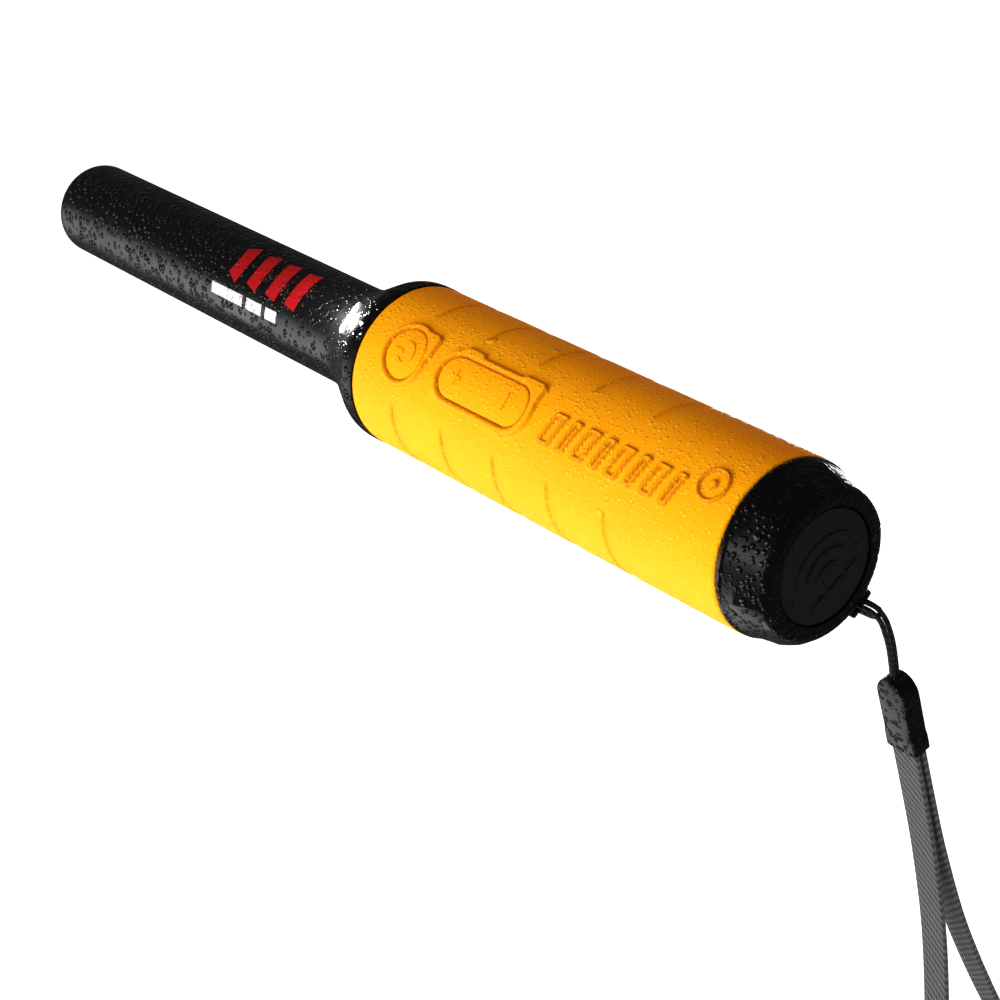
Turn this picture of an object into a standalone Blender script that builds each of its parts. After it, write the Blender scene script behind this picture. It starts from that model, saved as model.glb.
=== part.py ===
"""Pinpointer probe, held level by its grip, with its wrist strap hanging straight down.

A standalone Blender 4.5 script in metres, +Z up. The probe lies along X, tip at -X and battery cap
at +X, and the origin is the middle of the grip on the probe's axis. Lengths along the probe are
counted from its tip. Every size below is in millimetres, and the helpers turn it into metres.
"""

import math

import bmesh
import bpy
from mathutils import Matrix, Vector

MM = 0.001

# Driving dimensions, in millimetres and degrees
LENGTH = 253.0
KEY_TURN = 33.5
CAP_TURN = 27.0
GAP = 0.3
SHARP_EDGE = 35.0

TUBE_R = 11.2
TUBE_BORE_R = 9.4
TUBE_EDGE = 2.6
SPIGOT_R = 10.6
TUBE_END = 135.6
COLLAR_START = 117.3
COLLAR_R = 17.65

GRIP_START = 135.3
GRIP_END = 242.75
GRIP_MIDDLE = (GRIP_START + GRIP_END) / 2
GRIP_R_FRONT = 17.5
GRIP_R_REAR = 17.2
GRIP_BORE_R = 16.6
HOUSING_R = 16.3
BAY_R = 15.1
MOUTH_R = 15.65

POWER_AT = 149.3
POWER_R = 5.1
LEVEL_AT = 174.1
LEVEL_HALF = 12.7
LEVEL_HALF_WIDTH = 4.1
KEY_RIM = 1.6
KEY_UNDER_R = 16.95
KEY_TOP_R = 17.75
RIM_TOP_R = 18.3
POST_R = 1.6
POST_END = 12.75
LEVEL_POST_OFF = 6.0

LAMP_TURN = 26.0
LAMP_AT = 124.6
LAMP_R = 14.25
LAMP_SLOPE = 26.6

BOARD_TOP = 8.2
BOARD_START = 139.0
BOARD_END = 182.3

CAP_BACK = GRIP_END + GAP
PLUG_MOUTH = 234.6
PLUG_R = 14.7
THREAD_PITCH = 4.0
THREAD_AT = 235.8
CAP_RIDGES = 6

BATTERY_START = 187.9
BATTERY_END = 234.1

MOTOR_DOWN = -6.0
EYELET_AT = 250.0
EYELET_R = 17.4

CORD_D = 1.0
WEB_WIDTH = 6.0
WEB_THICK = 1.1

ROUND_STEPS = 64


def reach(distance):
    """X, in metres, of a distance from the tip."""
    return (distance - GRIP_MIDDLE) * MM


def clear_scene():
    for item in list(bpy.data.objects):
        bpy.data.objects.remove(item, do_unlink=True)


def new_collection(name):
    made = bpy.data.collections.new(name)
    bpy.context.scene.collection.children.link(made)
    return made


clear_scene()
PARTS = new_collection("pinpointer_probe")
CUTTERS = new_collection("cutters")


def new_axis(name, turn):
    """An empty on the probe's axis, turned about it."""
    axis = bpy.data.objects.new(name, None)
    axis.rotation_euler = (math.radians(turn), 0.0, 0.0)
    PARTS.objects.link(axis)
    return axis


PROBE = new_axis("probe_axis", KEY_TURN)
LAMP = new_axis("lamp_axis", LAMP_TURN)
CAP = new_axis("cap_axis", CAP_TURN)


def linear(value):
    return value / 12.92 if value <= 0.04045 else ((value + 0.055) / 1.055) ** 2.4


def new_material(name, colour, roughness, metallic=0.0, alpha=1.0):
    made = bpy.data.materials.new(name)
    made.use_nodes = True
    shader = made.node_tree.nodes["Principled BSDF"]
    channels = [linear(int(colour[i : i + 2], 16) / 255) for i in (0, 2, 4)]
    shader.inputs["Base Color"].default_value = (*channels, 1.0)
    shader.inputs["Roughness"].default_value = roughness
    shader.inputs["Metallic"].default_value = metallic
    shader.inputs["Alpha"].default_value = alpha
    return made


BLACK = new_material("black_abs", "16171a", 0.42)
YELLOW = new_material("yellow_rubber", "f5ae17", 0.55)
CAP_BLACK = new_material("cap_black", "111214", 0.3)
SEAL = new_material("seal_rubber", "26282b", 0.7)
CLEAR = new_material("clear_lens", "f2f6ff", 0.08, alpha=0.5)
WHITE = new_material("white_plastic", "e8e6df", 0.4)
FERRITE = new_material("ferrite", "3a3b3f", 0.6)
COPPER = new_material("copper_winding", "b5632c", 0.35, metallic=1.0)
BOARD = new_material("board_green", "1c5a36", 0.5)
STEEL = new_material("bright_steel", "c9ccd0", 0.25, metallic=1.0)
FOAM = new_material("foam", "4b4d52", 0.95)
BATTERY = new_material("battery_jacket", "2c3e66", 0.35)
CORD = new_material("strap_cord", "141416", 0.8)
WEBBING = new_material("strap_webbing", "1b1c1f", 0.9)


def place(name, data, material, parent, cutter=False):
    """One object for data, in the parts or the cutters collection."""
    item = bpy.data.objects.new(name, data)
    item.parent = parent
    (CUTTERS if cutter else PARTS).objects.link(item)
    if cutter:
        item.hide_render = True
        item.display_type = "WIRE"
    else:
        data.materials.append(material)
    if isinstance(data, bpy.types.Mesh) and data.polygons:
        data.shade_smooth()
        data.set_sharp_from_angle(angle=math.radians(SHARP_EDGE))
    return item


def mesh_from(bm, name):
    bmesh.ops.recalc_face_normals(bm, faces=bm.faces)
    data = bpy.data.meshes.new(name)
    bm.to_mesh(data)
    bm.free()
    return data


def turned(name, outline, material=None, parent=PROBE, closed=True, cutter=False, steps=ROUND_STEPS):
    """A turned piece. The outline is (distance from the tip, radius), running down its outer side."""
    bm = bmesh.new()
    points = [bm.verts.new((radius * MM, 0.0, reach(far))) for far, radius in outline]
    for first, second in zip(points, points[1:]):
        bm.edges.new((first, second))
    if closed:
        bm.edges.new((points[-1], points[0]))
    data = bpy.data.meshes.new(name)
    bm.to_mesh(data)
    bm.free()
    item = place(name, data, material, parent, cutter)
    item.rotation_euler = (0.0, math.radians(90), 0.0)
    screw = item.modifiers.new("turn", "SCREW")
    screw.steps = steps
    screw.render_steps = steps
    screw.use_merge_vertices = True
    screw.merge_threshold = 0.00001
    return item


def ring(name, start, end, inner, outer, material, parent=PROBE, steps=ROUND_STEPS):
    outline = [(end, outer), (start, outer), (start, inner), (end, inner)]
    return turned(name, outline, material, parent, steps=steps)


def disc(name, start, end, radius, material, parent=PROBE, steps=ROUND_STEPS):
    outline = [(end, 0.0), (end, radius), (start, radius), (start, 0.0)]
    return turned(name, outline, material, parent, closed=False, steps=steps)


def box(name, along, across, up, material=None, parent=PROBE, cutter=False):
    """A box from its (low, high) along the probe, across it and up from its axis."""
    bm = bmesh.new()
    bmesh.ops.create_cube(bm, size=1.0)
    size = Vector([span[1] - span[0] for span in (along, across, up)]) * MM
    middle = Vector((reach(sum(along) / 2), sum(across) / 2 * MM, sum(up) / 2 * MM))
    bmesh.ops.scale(bm, vec=size, verts=bm.verts)
    bmesh.ops.translate(bm, vec=middle, verts=bm.verts)
    return place(name, mesh_from(bm, name), material, parent, cutter)


def bar(name, middle, radius, half, toward="Z", material=None, parent=PROBE, cutter=False, sides=24):
    """A cylinder about its middle, (distance from the tip, across, up), along X, Y or Z."""
    bm = bmesh.new()
    bmesh.ops.create_cone(
        bm, cap_ends=True, segments=sides, radius1=radius * MM, radius2=radius * MM, depth=2 * half * MM
    )
    if toward != "Z":
        spin = Matrix.Rotation(math.radians(90), 3, "Y" if toward == "X" else "X")
        bmesh.ops.rotate(bm, cent=(0, 0, 0), matrix=spin, verts=bm.verts)
    where = Vector((reach(middle[0]), middle[1] * MM, middle[2] * MM))
    bmesh.ops.translate(bm, vec=where, verts=bm.verts)
    return place(name, mesh_from(bm, name), material, parent, cutter)


def pill_points(half_long, half_wide, arc=10):
    """A stadium outline about the origin, long in X."""
    points = []
    for end in (1, -1):
        for i in range(arc + 1):
            angle = math.radians(-90 + 180 * i / arc)
            x = end * (half_long - half_wide + half_wide * math.cos(angle))
            points.append((x, end * half_wide * math.sin(angle)))
    return points


def prism(name, points, low, high, material=None, parent=PROBE, cutter=True):
    """An outline of (x, y) millimetres drawn upright from low to high."""
    bm = bmesh.new()
    face = bm.faces.new([bm.verts.new((x * MM, y * MM, low * MM)) for x, y in points])
    bmesh.ops.remove_doubles(bm, verts=bm.verts, dist=0.00001)
    face = bm.faces[:][0]
    raised = bmesh.ops.extrude_face_region(bm, geom=[face])
    tops = [part for part in raised["geom"] if isinstance(part, bmesh.types.BMVert)]
    bmesh.ops.translate(bm, vec=(0.0, 0.0, (high - low) * MM), verts=tops)
    return place(name, mesh_from(bm, name), material, parent, cutter)


def key_prism(name, middle, half_long, half_wide, low=12.0, high=22.0):
    """An upright stadium over a point on the key line, as a cutter."""
    item = prism(name, pill_points(half_long, half_wide), low, high)
    item.location = (reach(middle), 0.0, 0.0)
    return item


def combine(item, other, operation):
    step = item.modifiers.new(operation.lower(), "BOOLEAN")
    step.operation = operation
    step.object = other
    step.solver = "EXACT"
    return item


def soften(item, width, segments=2):
    bevel = item.modifiers.new("soft_edges", "BEVEL")
    bevel.width = width * MM
    bevel.segments = segments
    bevel.limit_method = "ANGLE"
    return item


def bend(start, control, end, count=5):
    """Points on a quadratic curve, for a round stretch of an outline."""
    made = []
    for i in range(count + 1):
        u = i / count
        made.append(
            tuple((1 - u) ** 2 * a + 2 * u * (1 - u) * b + u * u * c for a, b, c in zip(start, control, end))
        )
    return made


def smooth_route(points, spacing):
    """Points about one spacing apart on a Catmull-Rom curve through the route."""
    ends = [points[0] * 2 - points[1], *points, points[-1] * 2 - points[-2]]
    made = []
    for a, b, c, d in zip(ends, ends[1:], ends[2:], ends[3:]):
        count = max(1, round((c - b).length / spacing))
        for i in range(count):
            u = i / count
            made.append(
                0.5 * (2 * b + (c - a) * u + (2 * a - 5 * b + 4 * c - d) * u**2 + (3 * b - a - 3 * c + d) * u**3)
            )
    return made + [points[-1]]


def wire(name, points, radius, material=None, parent=None, resolution=2, cutter=False):
    """A closed tube of that radius, in millimetres, along points in metres."""
    curve = bpy.data.curves.new(name, "CURVE")
    curve.dimensions = "3D"
    curve.bevel_depth = radius * MM
    curve.bevel_resolution = resolution
    curve.use_fill_caps = True
    spline = curve.splines.new("POLY")
    spline.points.add(len(points) - 1)
    for knot, point in zip(spline.points, points):
        knot.co = (*point, 1.0)
    return place(name, curve, material, parent, cutter)


def as_mesh(item, cutter=True):
    """The curve's shape as a mesh object, so that a Boolean can use it."""
    bpy.context.view_layer.update()
    graph = bpy.context.evaluated_depsgraph_get()
    data = bpy.data.meshes.new_from_object(item.evaluated_get(graph))
    bm = bmesh.new()
    bm.from_mesh(data)
    bmesh.ops.remove_doubles(bm, verts=bm.verts, dist=0.000001)
    bmesh.ops.recalc_face_normals(bm, faces=bm.faces)
    bm.to_mesh(data)
    bm.free()
    name = item.name
    parent = item.parent
    bpy.data.objects.remove(item, do_unlink=True)
    data.name = name
    return place(name, data, None, parent, cutter)


def helix(name, centre_r, radius, start, parent):
    """Half a turn of round thread ridge, as a cutter mesh."""
    count = 18
    points = []
    for i in range(count + 1):
        angle = math.pi * i / count
        far = start + THREAD_PITCH * angle / math.tau
        points.append((reach(far), -centre_r * MM * math.sin(angle), centre_r * MM * math.cos(angle)))
    return as_mesh(wire(name, points, radius, parent=parent))


# The probe's shell


def build_nose_tube():
    rim = bend((TUBE_EDGE, TUBE_R), (0.0, TUBE_R), (0.0, TUBE_R - TUBE_EDGE))
    outline = [(2.4, 0.0), (2.4, TUBE_BORE_R), (TUBE_END, TUBE_BORE_R), (TUBE_END, SPIGOT_R)]
    outline += [(COLLAR_START - GAP, SPIGOT_R), (COLLAR_START - GAP, TUBE_R), *rim, (0.0, 0.0)]
    turned("nose_tube", outline, BLACK, closed=False)
    ring("tube_gasket", 128.6, 130.4, SPIGOT_R + GAP, 12.2, SEAL)
    ring("tube_lock_ring", 131.9, 135.2, SPIGOT_R + GAP, 13.8, WHITE)


def collar_outline():
    """The flare from the tube's width to the rim, from the grip's end down to the lip."""
    rim = bend((133.0, COLLAR_R), (131.3, COLLAR_R), (130.0, 16.95), 4)
    foot = bend((122.0, 12.95), (119.6, 11.75), (COLLAR_START, 11.65), 4)
    return [(GRIP_START - GAP, COLLAR_R), *rim, *foot]


def build_housing():
    outline = [(GRIP_END, HOUSING_R), (GRIP_START - GAP, HOUSING_R), *collar_outline()]
    outline += [(COLLAR_START, 10.9), (128.3, 10.9), (128.3, 12.5), (130.7, 12.5), (130.7, 10.9)]
    outline += [(131.6, 10.9), (131.6, 14.1), (137.0, 14.1), (138.0, BAY_R)]
    outline += [(234.5, BAY_R), (235.0, MOUTH_R), (GRIP_END, MOUTH_R)]
    housing = turned("main_housing", outline, BLACK)
    combine(housing, helix("mouth_thread", 15.6, 0.55, THREAD_AT + THREAD_PITCH / 2, CAP), "UNION")
    for index, far in enumerate((POWER_AT, LEVEL_AT - LEVEL_POST_OFF, LEVEL_AT + LEVEL_POST_OFF)):
        hole = bar(f"post_hole_{index}", (far, 0.0, 16.0), POST_R + 0.8, 3.0, cutter=True)
        combine(housing, hole, "DIFFERENCE")
    combine(housing, lamp_piece("lamp_pocket", 4.1, 1.8, -2.7, 2.0, cutter=True), "DIFFERENCE")


def lamp_piece(name, half_wide, half_long, low, high, material=None, cutter=False):
    """A stadium across the collar's slope, square to it, between two heights over its surface."""
    points = [(y, x) for x, y in pill_points(half_wide, half_long, 8)]
    item = prism(name, points, low, high, material, LAMP, cutter)
    item.location = (reach(LAMP_AT), 0.0, LAMP_R * MM)
    item.rotation_euler = (0.0, -math.radians(LAMP_SLOPE), 0.0)
    return item


def build_lamp():
    lamp_piece("lamp_lens", 3.8, 1.5, -1.2, 0.15, CLEAR)
    led = box("lamp_led", (GRIP_MIDDLE - 0.8, GRIP_MIDDLE + 0.8), (-1.4, 1.4), (-2.4, -1.5), WHITE, LAMP)
    led.location = (reach(LAMP_AT), 0.0, LAMP_R * MM)
    led.rotation_euler = (0.0, -math.radians(LAMP_SLOPE), 0.0)


def build_grip():
    outline = [(GRIP_END, GRIP_R_REAR - 0.3), (GRIP_END - 0.3, GRIP_R_REAR)]
    outline += [(GRIP_START + 0.5, GRIP_R_FRONT), (GRIP_START, GRIP_R_FRONT - 0.4)]
    outline += [(GRIP_START, GRIP_BORE_R), (GRIP_END, GRIP_BORE_R)]
    grip = turned("grip_sleeve", outline, YELLOW)
    rims = key_prism("power_rim", POWER_AT, POWER_R + GAP + KEY_RIM, POWER_R + GAP + KEY_RIM)
    level_rim = key_prism("level_rim", LEVEL_AT, LEVEL_HALF + GAP + 2.0, LEVEL_HALF_WIDTH + GAP + 1.2)
    combine(rims, level_rim, "UNION")
    combine(rims, box("rim_bridge", (153.5, 161.5), (-3.4, 3.4), (12.0, 22.0), cutter=True), "UNION")
    shell = turned(
        "rim_shell", [(192.0, RIM_TOP_R), (139.0, RIM_TOP_R), (139.0, 16.9), (192.0, 16.9)], cutter=True
    )
    combine(shell, rims, "INTERSECT")
    combine(grip, shell, "UNION")
    power_window = key_prism("power_window", POWER_AT, POWER_R + GAP, POWER_R + GAP)
    level_window = key_prism("level_window", LEVEL_AT, LEVEL_HALF + GAP, LEVEL_HALF_WIDTH + GAP)
    combine(grip, power_window, "DIFFERENCE")
    combine(grip, level_window, "DIFFERENCE")


def build_key(name, middle, half_long, half_wide, post_offsets):
    """A key plate that follows the grip's curve, with a post for each switch under it."""
    outline = [(middle + 20, KEY_TOP_R), (middle - 20, KEY_TOP_R)]
    outline += [(middle - 20, KEY_UNDER_R), (middle + 20, KEY_UNDER_R)]
    key = turned(name, outline, YELLOW)
    combine(key, key_prism(f"{name}_edge", middle, half_long, half_wide), "INTERSECT")
    for index, offset in enumerate(post_offsets):
        high = (POST_END + KEY_UNDER_R + 0.3) / 2
        half = (KEY_UNDER_R + 0.3 - POST_END) / 2
        post = bar(f"{name}_post_{index}", (middle + offset, 0.0, high), POST_R, half, cutter=True)
        combine(key, post, "UNION")


# The sensing coil in the tube


def build_coil():
    disc("tip_pad", 2.7, 4.6, 8.9, FOAM, steps=32)
    disc("ferrite_core", 4.9, 105.0, 4.0, FERRITE, steps=32)
    outline = [(104.6, 8.9), (103.4, 8.9), (103.4, 5.3), (70.9, 5.3), (70.9, 8.9), (69.7, 8.9)]
    outline += [(69.7, 5.3), (39.3, 5.3), (39.3, 8.9), (38.1, 8.9), (38.1, 5.3), (9.0, 5.3)]
    outline += [(9.0, 8.9), (7.8, 8.9), (7.8, 4.3), (104.6, 4.3)]
    turned("coil_bobbin", outline, WHITE, steps=32)
    ring("receive_coil_front", 9.4, 37.7, 5.6, 7.2, COPPER, steps=32)
    ring("transmit_coil", 39.7, 69.3, 5.6, 8.2, COPPER, steps=32)
    ring("receive_coil_rear", 71.3, 103.0, 5.6, 7.2, COPPER, steps=32)
    ring("core_spacer", 105.4, 109.0, 1.8, 9.0, WHITE, steps=32)
    stops = [(105.9, 0.0), (115.0, 0.0), (124.0, 1.0), (130.0, 3.3), (134.6, 7.0), (137.4, 9.4), (139.2, 9.8)]
    route = [Vector((reach(far), 0.0, up * MM)) for far, up in stops]
    wire("coil_leads", smooth_route(route, 2.4 * MM), 1.0, SEAL, PROBE)


# The electronics in the grip


def build_chassis():
    cradle = ring("chassis", 138.6, BOARD_END, 13.2, 14.7, WHITE)
    above = box("chassis_top", (130.0, 190.0), (-20.0, 20.0), (6.9, 20.0), cutter=True)
    combine(cradle, above, "DIFFERENCE")
    box("main_board", (BOARD_START, BOARD_END), (-11.9, 11.9), (BOARD_TOP - 1.0, BOARD_TOP), BOARD)


def build_switch(name, far):
    low = BOARD_TOP + GAP
    switch = box(name, (far - 2.2, far + 2.2), (-2.2, 2.2), (low, low + 2.8), STEEL)
    combine(switch, bar(f"{name}_plunger", (far, 0.0, low + 2.6), 1.0, 1.0, cutter=True), "UNION")


def build_board_parts():
    low = BOARD_TOP + GAP
    build_switch("power_switch", POWER_AT)
    build_switch("plus_switch", LEVEL_AT - LEVEL_POST_OFF)
    build_switch("minus_switch", LEVEL_AT + LEVEL_POST_OFF)
    box("lead_connector", (139.7, 144.5), (-3.0, 3.0), (low, low + 2.8), WHITE)
    box("microcontroller", (155.5, 162.5), (-9.0, -2.0), (low, low + 1.1), SEAL)
    box("driver_chip", (156.5, 161.5), (2.0, 6.0), (low, low + 1.2), SEAL)
    bar("tank_capacitor", (172.5, 6.4, low + 1.5), 2.4, 1.5, "Z", STEEL, sides=20)
    bar("board_screw_front", (141.3, 9.2, low + 0.6), 1.5, 0.6, "Z", STEEL, sides=16)
    bar("board_screw_rear", (180.0, -9.2, low + 0.6), 1.5, 0.6, "Z", STEEL, sides=16)


def build_sounder():
    bar("sounder", (150.0, -6.0, 1.0), 5.0, 2.6, "Z", SEAL, sides=28)
    bar("sounder_disc", (150.0, -6.0, 4.1), 4.4, 0.15, "Z", STEEL, sides=28)


def build_motor():
    bar("motor_can", (158.0, 0.0, MOTOR_DOWN), 3.0, 5.5, "X", STEEL, sides=24)
    bar("motor_shaft", (165.6, 0.0, MOTOR_DOWN), 0.4, 1.8, "X", STEEL, sides=12)
    clip = box("motor_clip", (154.0, 162.0), (-4.2, 4.2), (-11.2, -5.0), WHITE)
    combine(clip, bar("clip_bore", (158.0, 0.0, MOTOR_DOWN), 3.3, 8.0, "X", cutter=True), "DIFFERENCE")
    weight = bar("vibration_weight", (GRIP_MIDDLE, 0.0, 0.0), 2.8, 1.4, "X", STEEL, sides=24)
    shaft_hole = bar("weight_bore", (GRIP_MIDDLE, 0.0, 0.0), 0.7, 3.0, "X", cutter=True, sides=12)
    half = box("weight_half", (GRIP_MIDDLE - 4, GRIP_MIDDLE + 4), (-5.0, 5.0), (1.1, 6.0), cutter=True)
    for cutter in (shaft_hole, half):
        cutter.parent = weight
        combine(weight, cutter, "DIFFERENCE")
    weight.location = (reach(166.0), 0.0, MOTOR_DOWN * MM)
    weight.rotation_euler = (-math.radians(KEY_TURN), 0.0, 0.0)


def build_battery():
    plate = disc("battery_plate", 183.0, 184.4, 14.7, WHITE)
    slot = box("plate_slot", (180.0, 186.0), (-3.0, 3.0), (9.5, 16.0), cutter=True)
    combine(plate, slot, "DIFFERENCE")
    bar("snap_contact_plus", (184.95, 6.4, 0.0), 2.9, 0.2, "X", STEEL, sides=20)
    bar("snap_contact_minus", (184.95, -6.4, 0.0), 3.9, 0.2, "X", STEEL, sides=6)
    body = box("battery", (BATTERY_START, BATTERY_END), (-13.0, 13.0), (-8.5, 8.5), BATTERY)
    bevel = soften(body, 2.4, 3).modifiers[-1]
    bevel.angle_limit = math.radians(60)
    for side, radius in ((1, 2.9), (-1, 3.9)):
        stud = bar(f"battery_stud_{side}", (186.8, 6.4 * side, 0.0), radius, 1.35, "X", cutter=True, sides=20)
        combine(body, stud, "UNION")


# The cap that closes the battery bay


def cap_outline():
    """The cap's turned body: a rim, the panels between its ridges, the end and the hollow plug."""
    rim = bend((244.3, 17.05), (244.5, 16.5), (245.0, 16.3), 2)
    end = bend((250.6, 14.6), (252.9, 14.0), (LENGTH, 12.9), 4)
    outline = [(251.9, 0.0), (251.9, 11.3), (LENGTH, 11.3), *reversed(end), *reversed(rim)]
    outline += [(CAP_BACK, 17.05), (CAP_BACK, PLUG_R), (242.4, PLUG_R), (242.4, 14.2)]
    outline += [(240.8, 14.2), (240.8, PLUG_R), (PLUG_MOUTH, PLUG_R)]
    outline += [(PLUG_MOUTH, 13.0), (241.0, 13.0), (241.0, 0.0)]
    return outline


def cap_ridge(index):
    """One ridge of the cap, from its rim down to the end's edge."""
    ridge = box(
        f"cap_ridge_{index}", (GRIP_MIDDLE - 4.2, GRIP_MIDDLE + 3.6), (-1.3, 1.3), (-5.0, 0.0), cutter=True
    )
    ridge.parent = CAP
    turn = math.radians(360 / CAP_RIDGES * index)
    lift = 16.3 * MM
    ridge.location = (reach(247.6), -lift * math.sin(turn), lift * math.cos(turn))
    tilt = Matrix.Rotation(turn, 3, "X") @ Matrix.Rotation(math.radians(12.0), 3, "Y")
    ridge.rotation_euler = tilt.to_euler()
    return ridge


def build_lug(cap):
    """The strap's lug, in place of the ridge opposite the first one."""
    lug = box(
        "strap_lug", (EYELET_AT - 1.1, EYELET_AT + 1.1), (-2.9, 2.9), (-EYELET_R - 0.55, -12.0), cutter=True
    )
    lug.parent = CAP
    slot = box(
        "strap_slot", (EYELET_AT - 4, EYELET_AT + 4), (-1.9, 1.9), (-EYELET_R + 0.55, -15.1), cutter=True
    )
    slot.parent = CAP
    combine(cap, lug, "UNION")
    combine(cap, slot, "DIFFERENCE")


def build_cap():
    cap = turned("battery_cap", cap_outline(), CAP_BLACK, CAP, closed=False)
    for index in range(CAP_RIDGES):
        if index != CAP_RIDGES // 2:
            combine(cap, cap_ridge(index), "UNION")
    build_lug(cap)
    combine(cap, helix("plug_thread", 14.85, 0.55, THREAD_AT, CAP), "UNION")
    disc("cap_badge", 252.2, LENGTH, 11.0, CAP_BLACK, CAP)
    disc("battery_pad", 234.5, 240.6, 12.4, FOAM, CAP, steps=32)
    o_ring = []
    for i in range(8):
        angle = -math.tau * i / 8
        o_ring.append((241.6 + 0.5 * math.sin(angle + 0.4), 14.95 + 0.5 * math.cos(angle + 0.4)))
    turned("cap_o_ring", o_ring, SEAL, CAP)


# The wrist strap, in world axes


def eyelet_point(x=0.0, across=0.0, out=0.0):
    """A point by the lug's bar: along the probe, along the bar, and out from the probe's axis."""
    turn = math.radians(CAP_TURN + 180)
    outward = Vector((0.0, -math.sin(turn), math.cos(turn)))
    along_bar = Vector((0.0, -math.cos(turn), -math.sin(turn)))
    middle = Vector((reach(EYELET_AT), 0.0, 0.0)) + outward * EYELET_R * MM
    return middle + Vector((x * MM, 0.0, 0.0)) + along_bar * across * MM + outward * out * MM


def half_cord():
    """Half of the doubled cord: from the fitting up one leg, through the lug and back to the bight."""
    bar_point = eyelet_point()
    legs = [(6.0, 0.62, -14.4), (6.2, 0.62, -12.0), (6.45, 0.62, -9.0), (6.5, 0.62, -6.0)]
    legs += [(6.2, 0.62, -3.4), (5.6, 0.6, -1.2)]
    route = [bar_point + Vector((x, y, z)) * MM for x, y, z in legs]
    hitch = [(4.3, 0.6, -0.8), (2.2, 0.62, -1.25), (0.0, 0.66, -1.35), (-1.6, 0.75, -1.2)]
    hitch += [(-2.15, 0.8, 0.1), (-1.6, 0.88, 1.3), (0.2, 0.92, 1.4), (2.4, 0.92, 1.1), (4.0, 0.8, 0.8)]
    return route + [eyelet_point(*point) for point in hitch] + [eyelet_point(4.7, 0.35, 0.75)]


def mirrored_across(point):
    """The same point on the other leg: its place along the bar turned round."""
    offset = point - eyelet_point()
    turn = math.radians(CAP_TURN + 180)
    along_bar = Vector((0.0, -math.cos(turn), -math.sin(turn)))
    return point - along_bar * 2 * offset.dot(along_bar)


FITTING_TOP = eyelet_point() + Vector((6.0, 0.0, -14.7)) * MM
FITTING_HIGH = 18.0


def build_cord():
    first = half_cord()
    legs = [Vector((p.x, 2 * eyelet_point().y - p.y, p.z)) for p in first[:6]]
    second = legs + [mirrored_across(p) for p in first[6:]]
    route = first + list(reversed(second))
    wire("strap_cord", smooth_route(route, 1.2 * MM), CORD_D / 2, CORD)


def build_fitting():
    """The moulded block that joins the cord to the webbing, round at the top."""
    half_x = 3.75
    half_y = 2.1
    points = [(-half_x + 0.3, -FITTING_HIGH), (half_x - 0.3, -FITTING_HIGH), (half_x, -FITTING_HIGH + 1.0)]
    for i in range(9):
        angle = math.radians(180 * i / 8)
        points.append((half_x * math.cos(angle), -4.6 + 4.6 * math.sin(angle)))
    points.append((-half_x, -FITTING_HIGH + 1.0))
    block = prism("strap_fitting", points, -half_y, half_y, SEAL, None, cutter=False)
    block.rotation_euler = (math.radians(90), 0.0, 0.0)
    block.location = FITTING_TOP
    soften(block, 0.5)


def web_route():
    """The webbing's centre line in the YZ plane, from one side of the fitting down and back up."""
    half = [(0.9, 0.0), (0.95, -12.0), (1.3, -28.0), (3.0, -50.0), (7.2, -75.0), (12.4, -98.0)]
    half += [(16.2, -116.0), (15.4, -130.0), (10.2, -139.5), (0.0, -143.0)]
    other = [(-across, down) for across, down in reversed(half[:-1])]
    return [Vector((0.0, across, down)) * MM for across, down in half + other]


WEB_TOP = FITTING_TOP + Vector((0.0, 0.0, -(FITTING_HIGH + GAP) * MM))


def build_webbing():
    route = smooth_route(web_route(), 4.0 * MM)
    tangents = [(route[min(i + 1, len(route) - 1)] - route[max(i - 1, 0)]).normalized() for i in range(len(route))]
    sides = [Vector((0.0, -t.z, t.y)) * WEB_THICK / 2 * MM for t in tangents]
    outline = [p + s for p, s in zip(route, sides)] + [p - s for p, s in zip(reversed(route), reversed(sides))]
    curve = bpy.data.curves.new("wrist_webbing", "CURVE")
    curve.dimensions = "2D"
    curve.fill_mode = "BOTH"
    curve.extrude = WEB_WIDTH / 2 * MM
    spline = curve.splines.new("POLY")
    spline.points.add(len(outline) - 1)
    for knot, point in zip(spline.points, outline):
        knot.co = (point.y, point.z, 0.0, 1.0)
    spline.use_cyclic_u = True
    webbing = place("wrist_webbing", curve, WEBBING, None)
    webbing.rotation_euler = (math.radians(90), 0.0, math.radians(90))
    webbing.location = WEB_TOP


def main():
    build_nose_tube()
    build_housing()
    build_lamp()
    build_grip()
    build_key("power_key", POWER_AT, POWER_R, POWER_R, (0.0,))
    build_key("level_key", LEVEL_AT, LEVEL_HALF, LEVEL_HALF_WIDTH, (-LEVEL_POST_OFF, LEVEL_POST_OFF))
    build_coil()
    build_chassis()
    build_board_parts()
    build_sounder()
    build_motor()
    build_battery()
    build_cap()
    build_cord()
    build_fitting()
    build_webbing()


main()
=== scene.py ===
import math

import bpy
import numpy as np
from mathutils import Matrix, Vector


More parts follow.
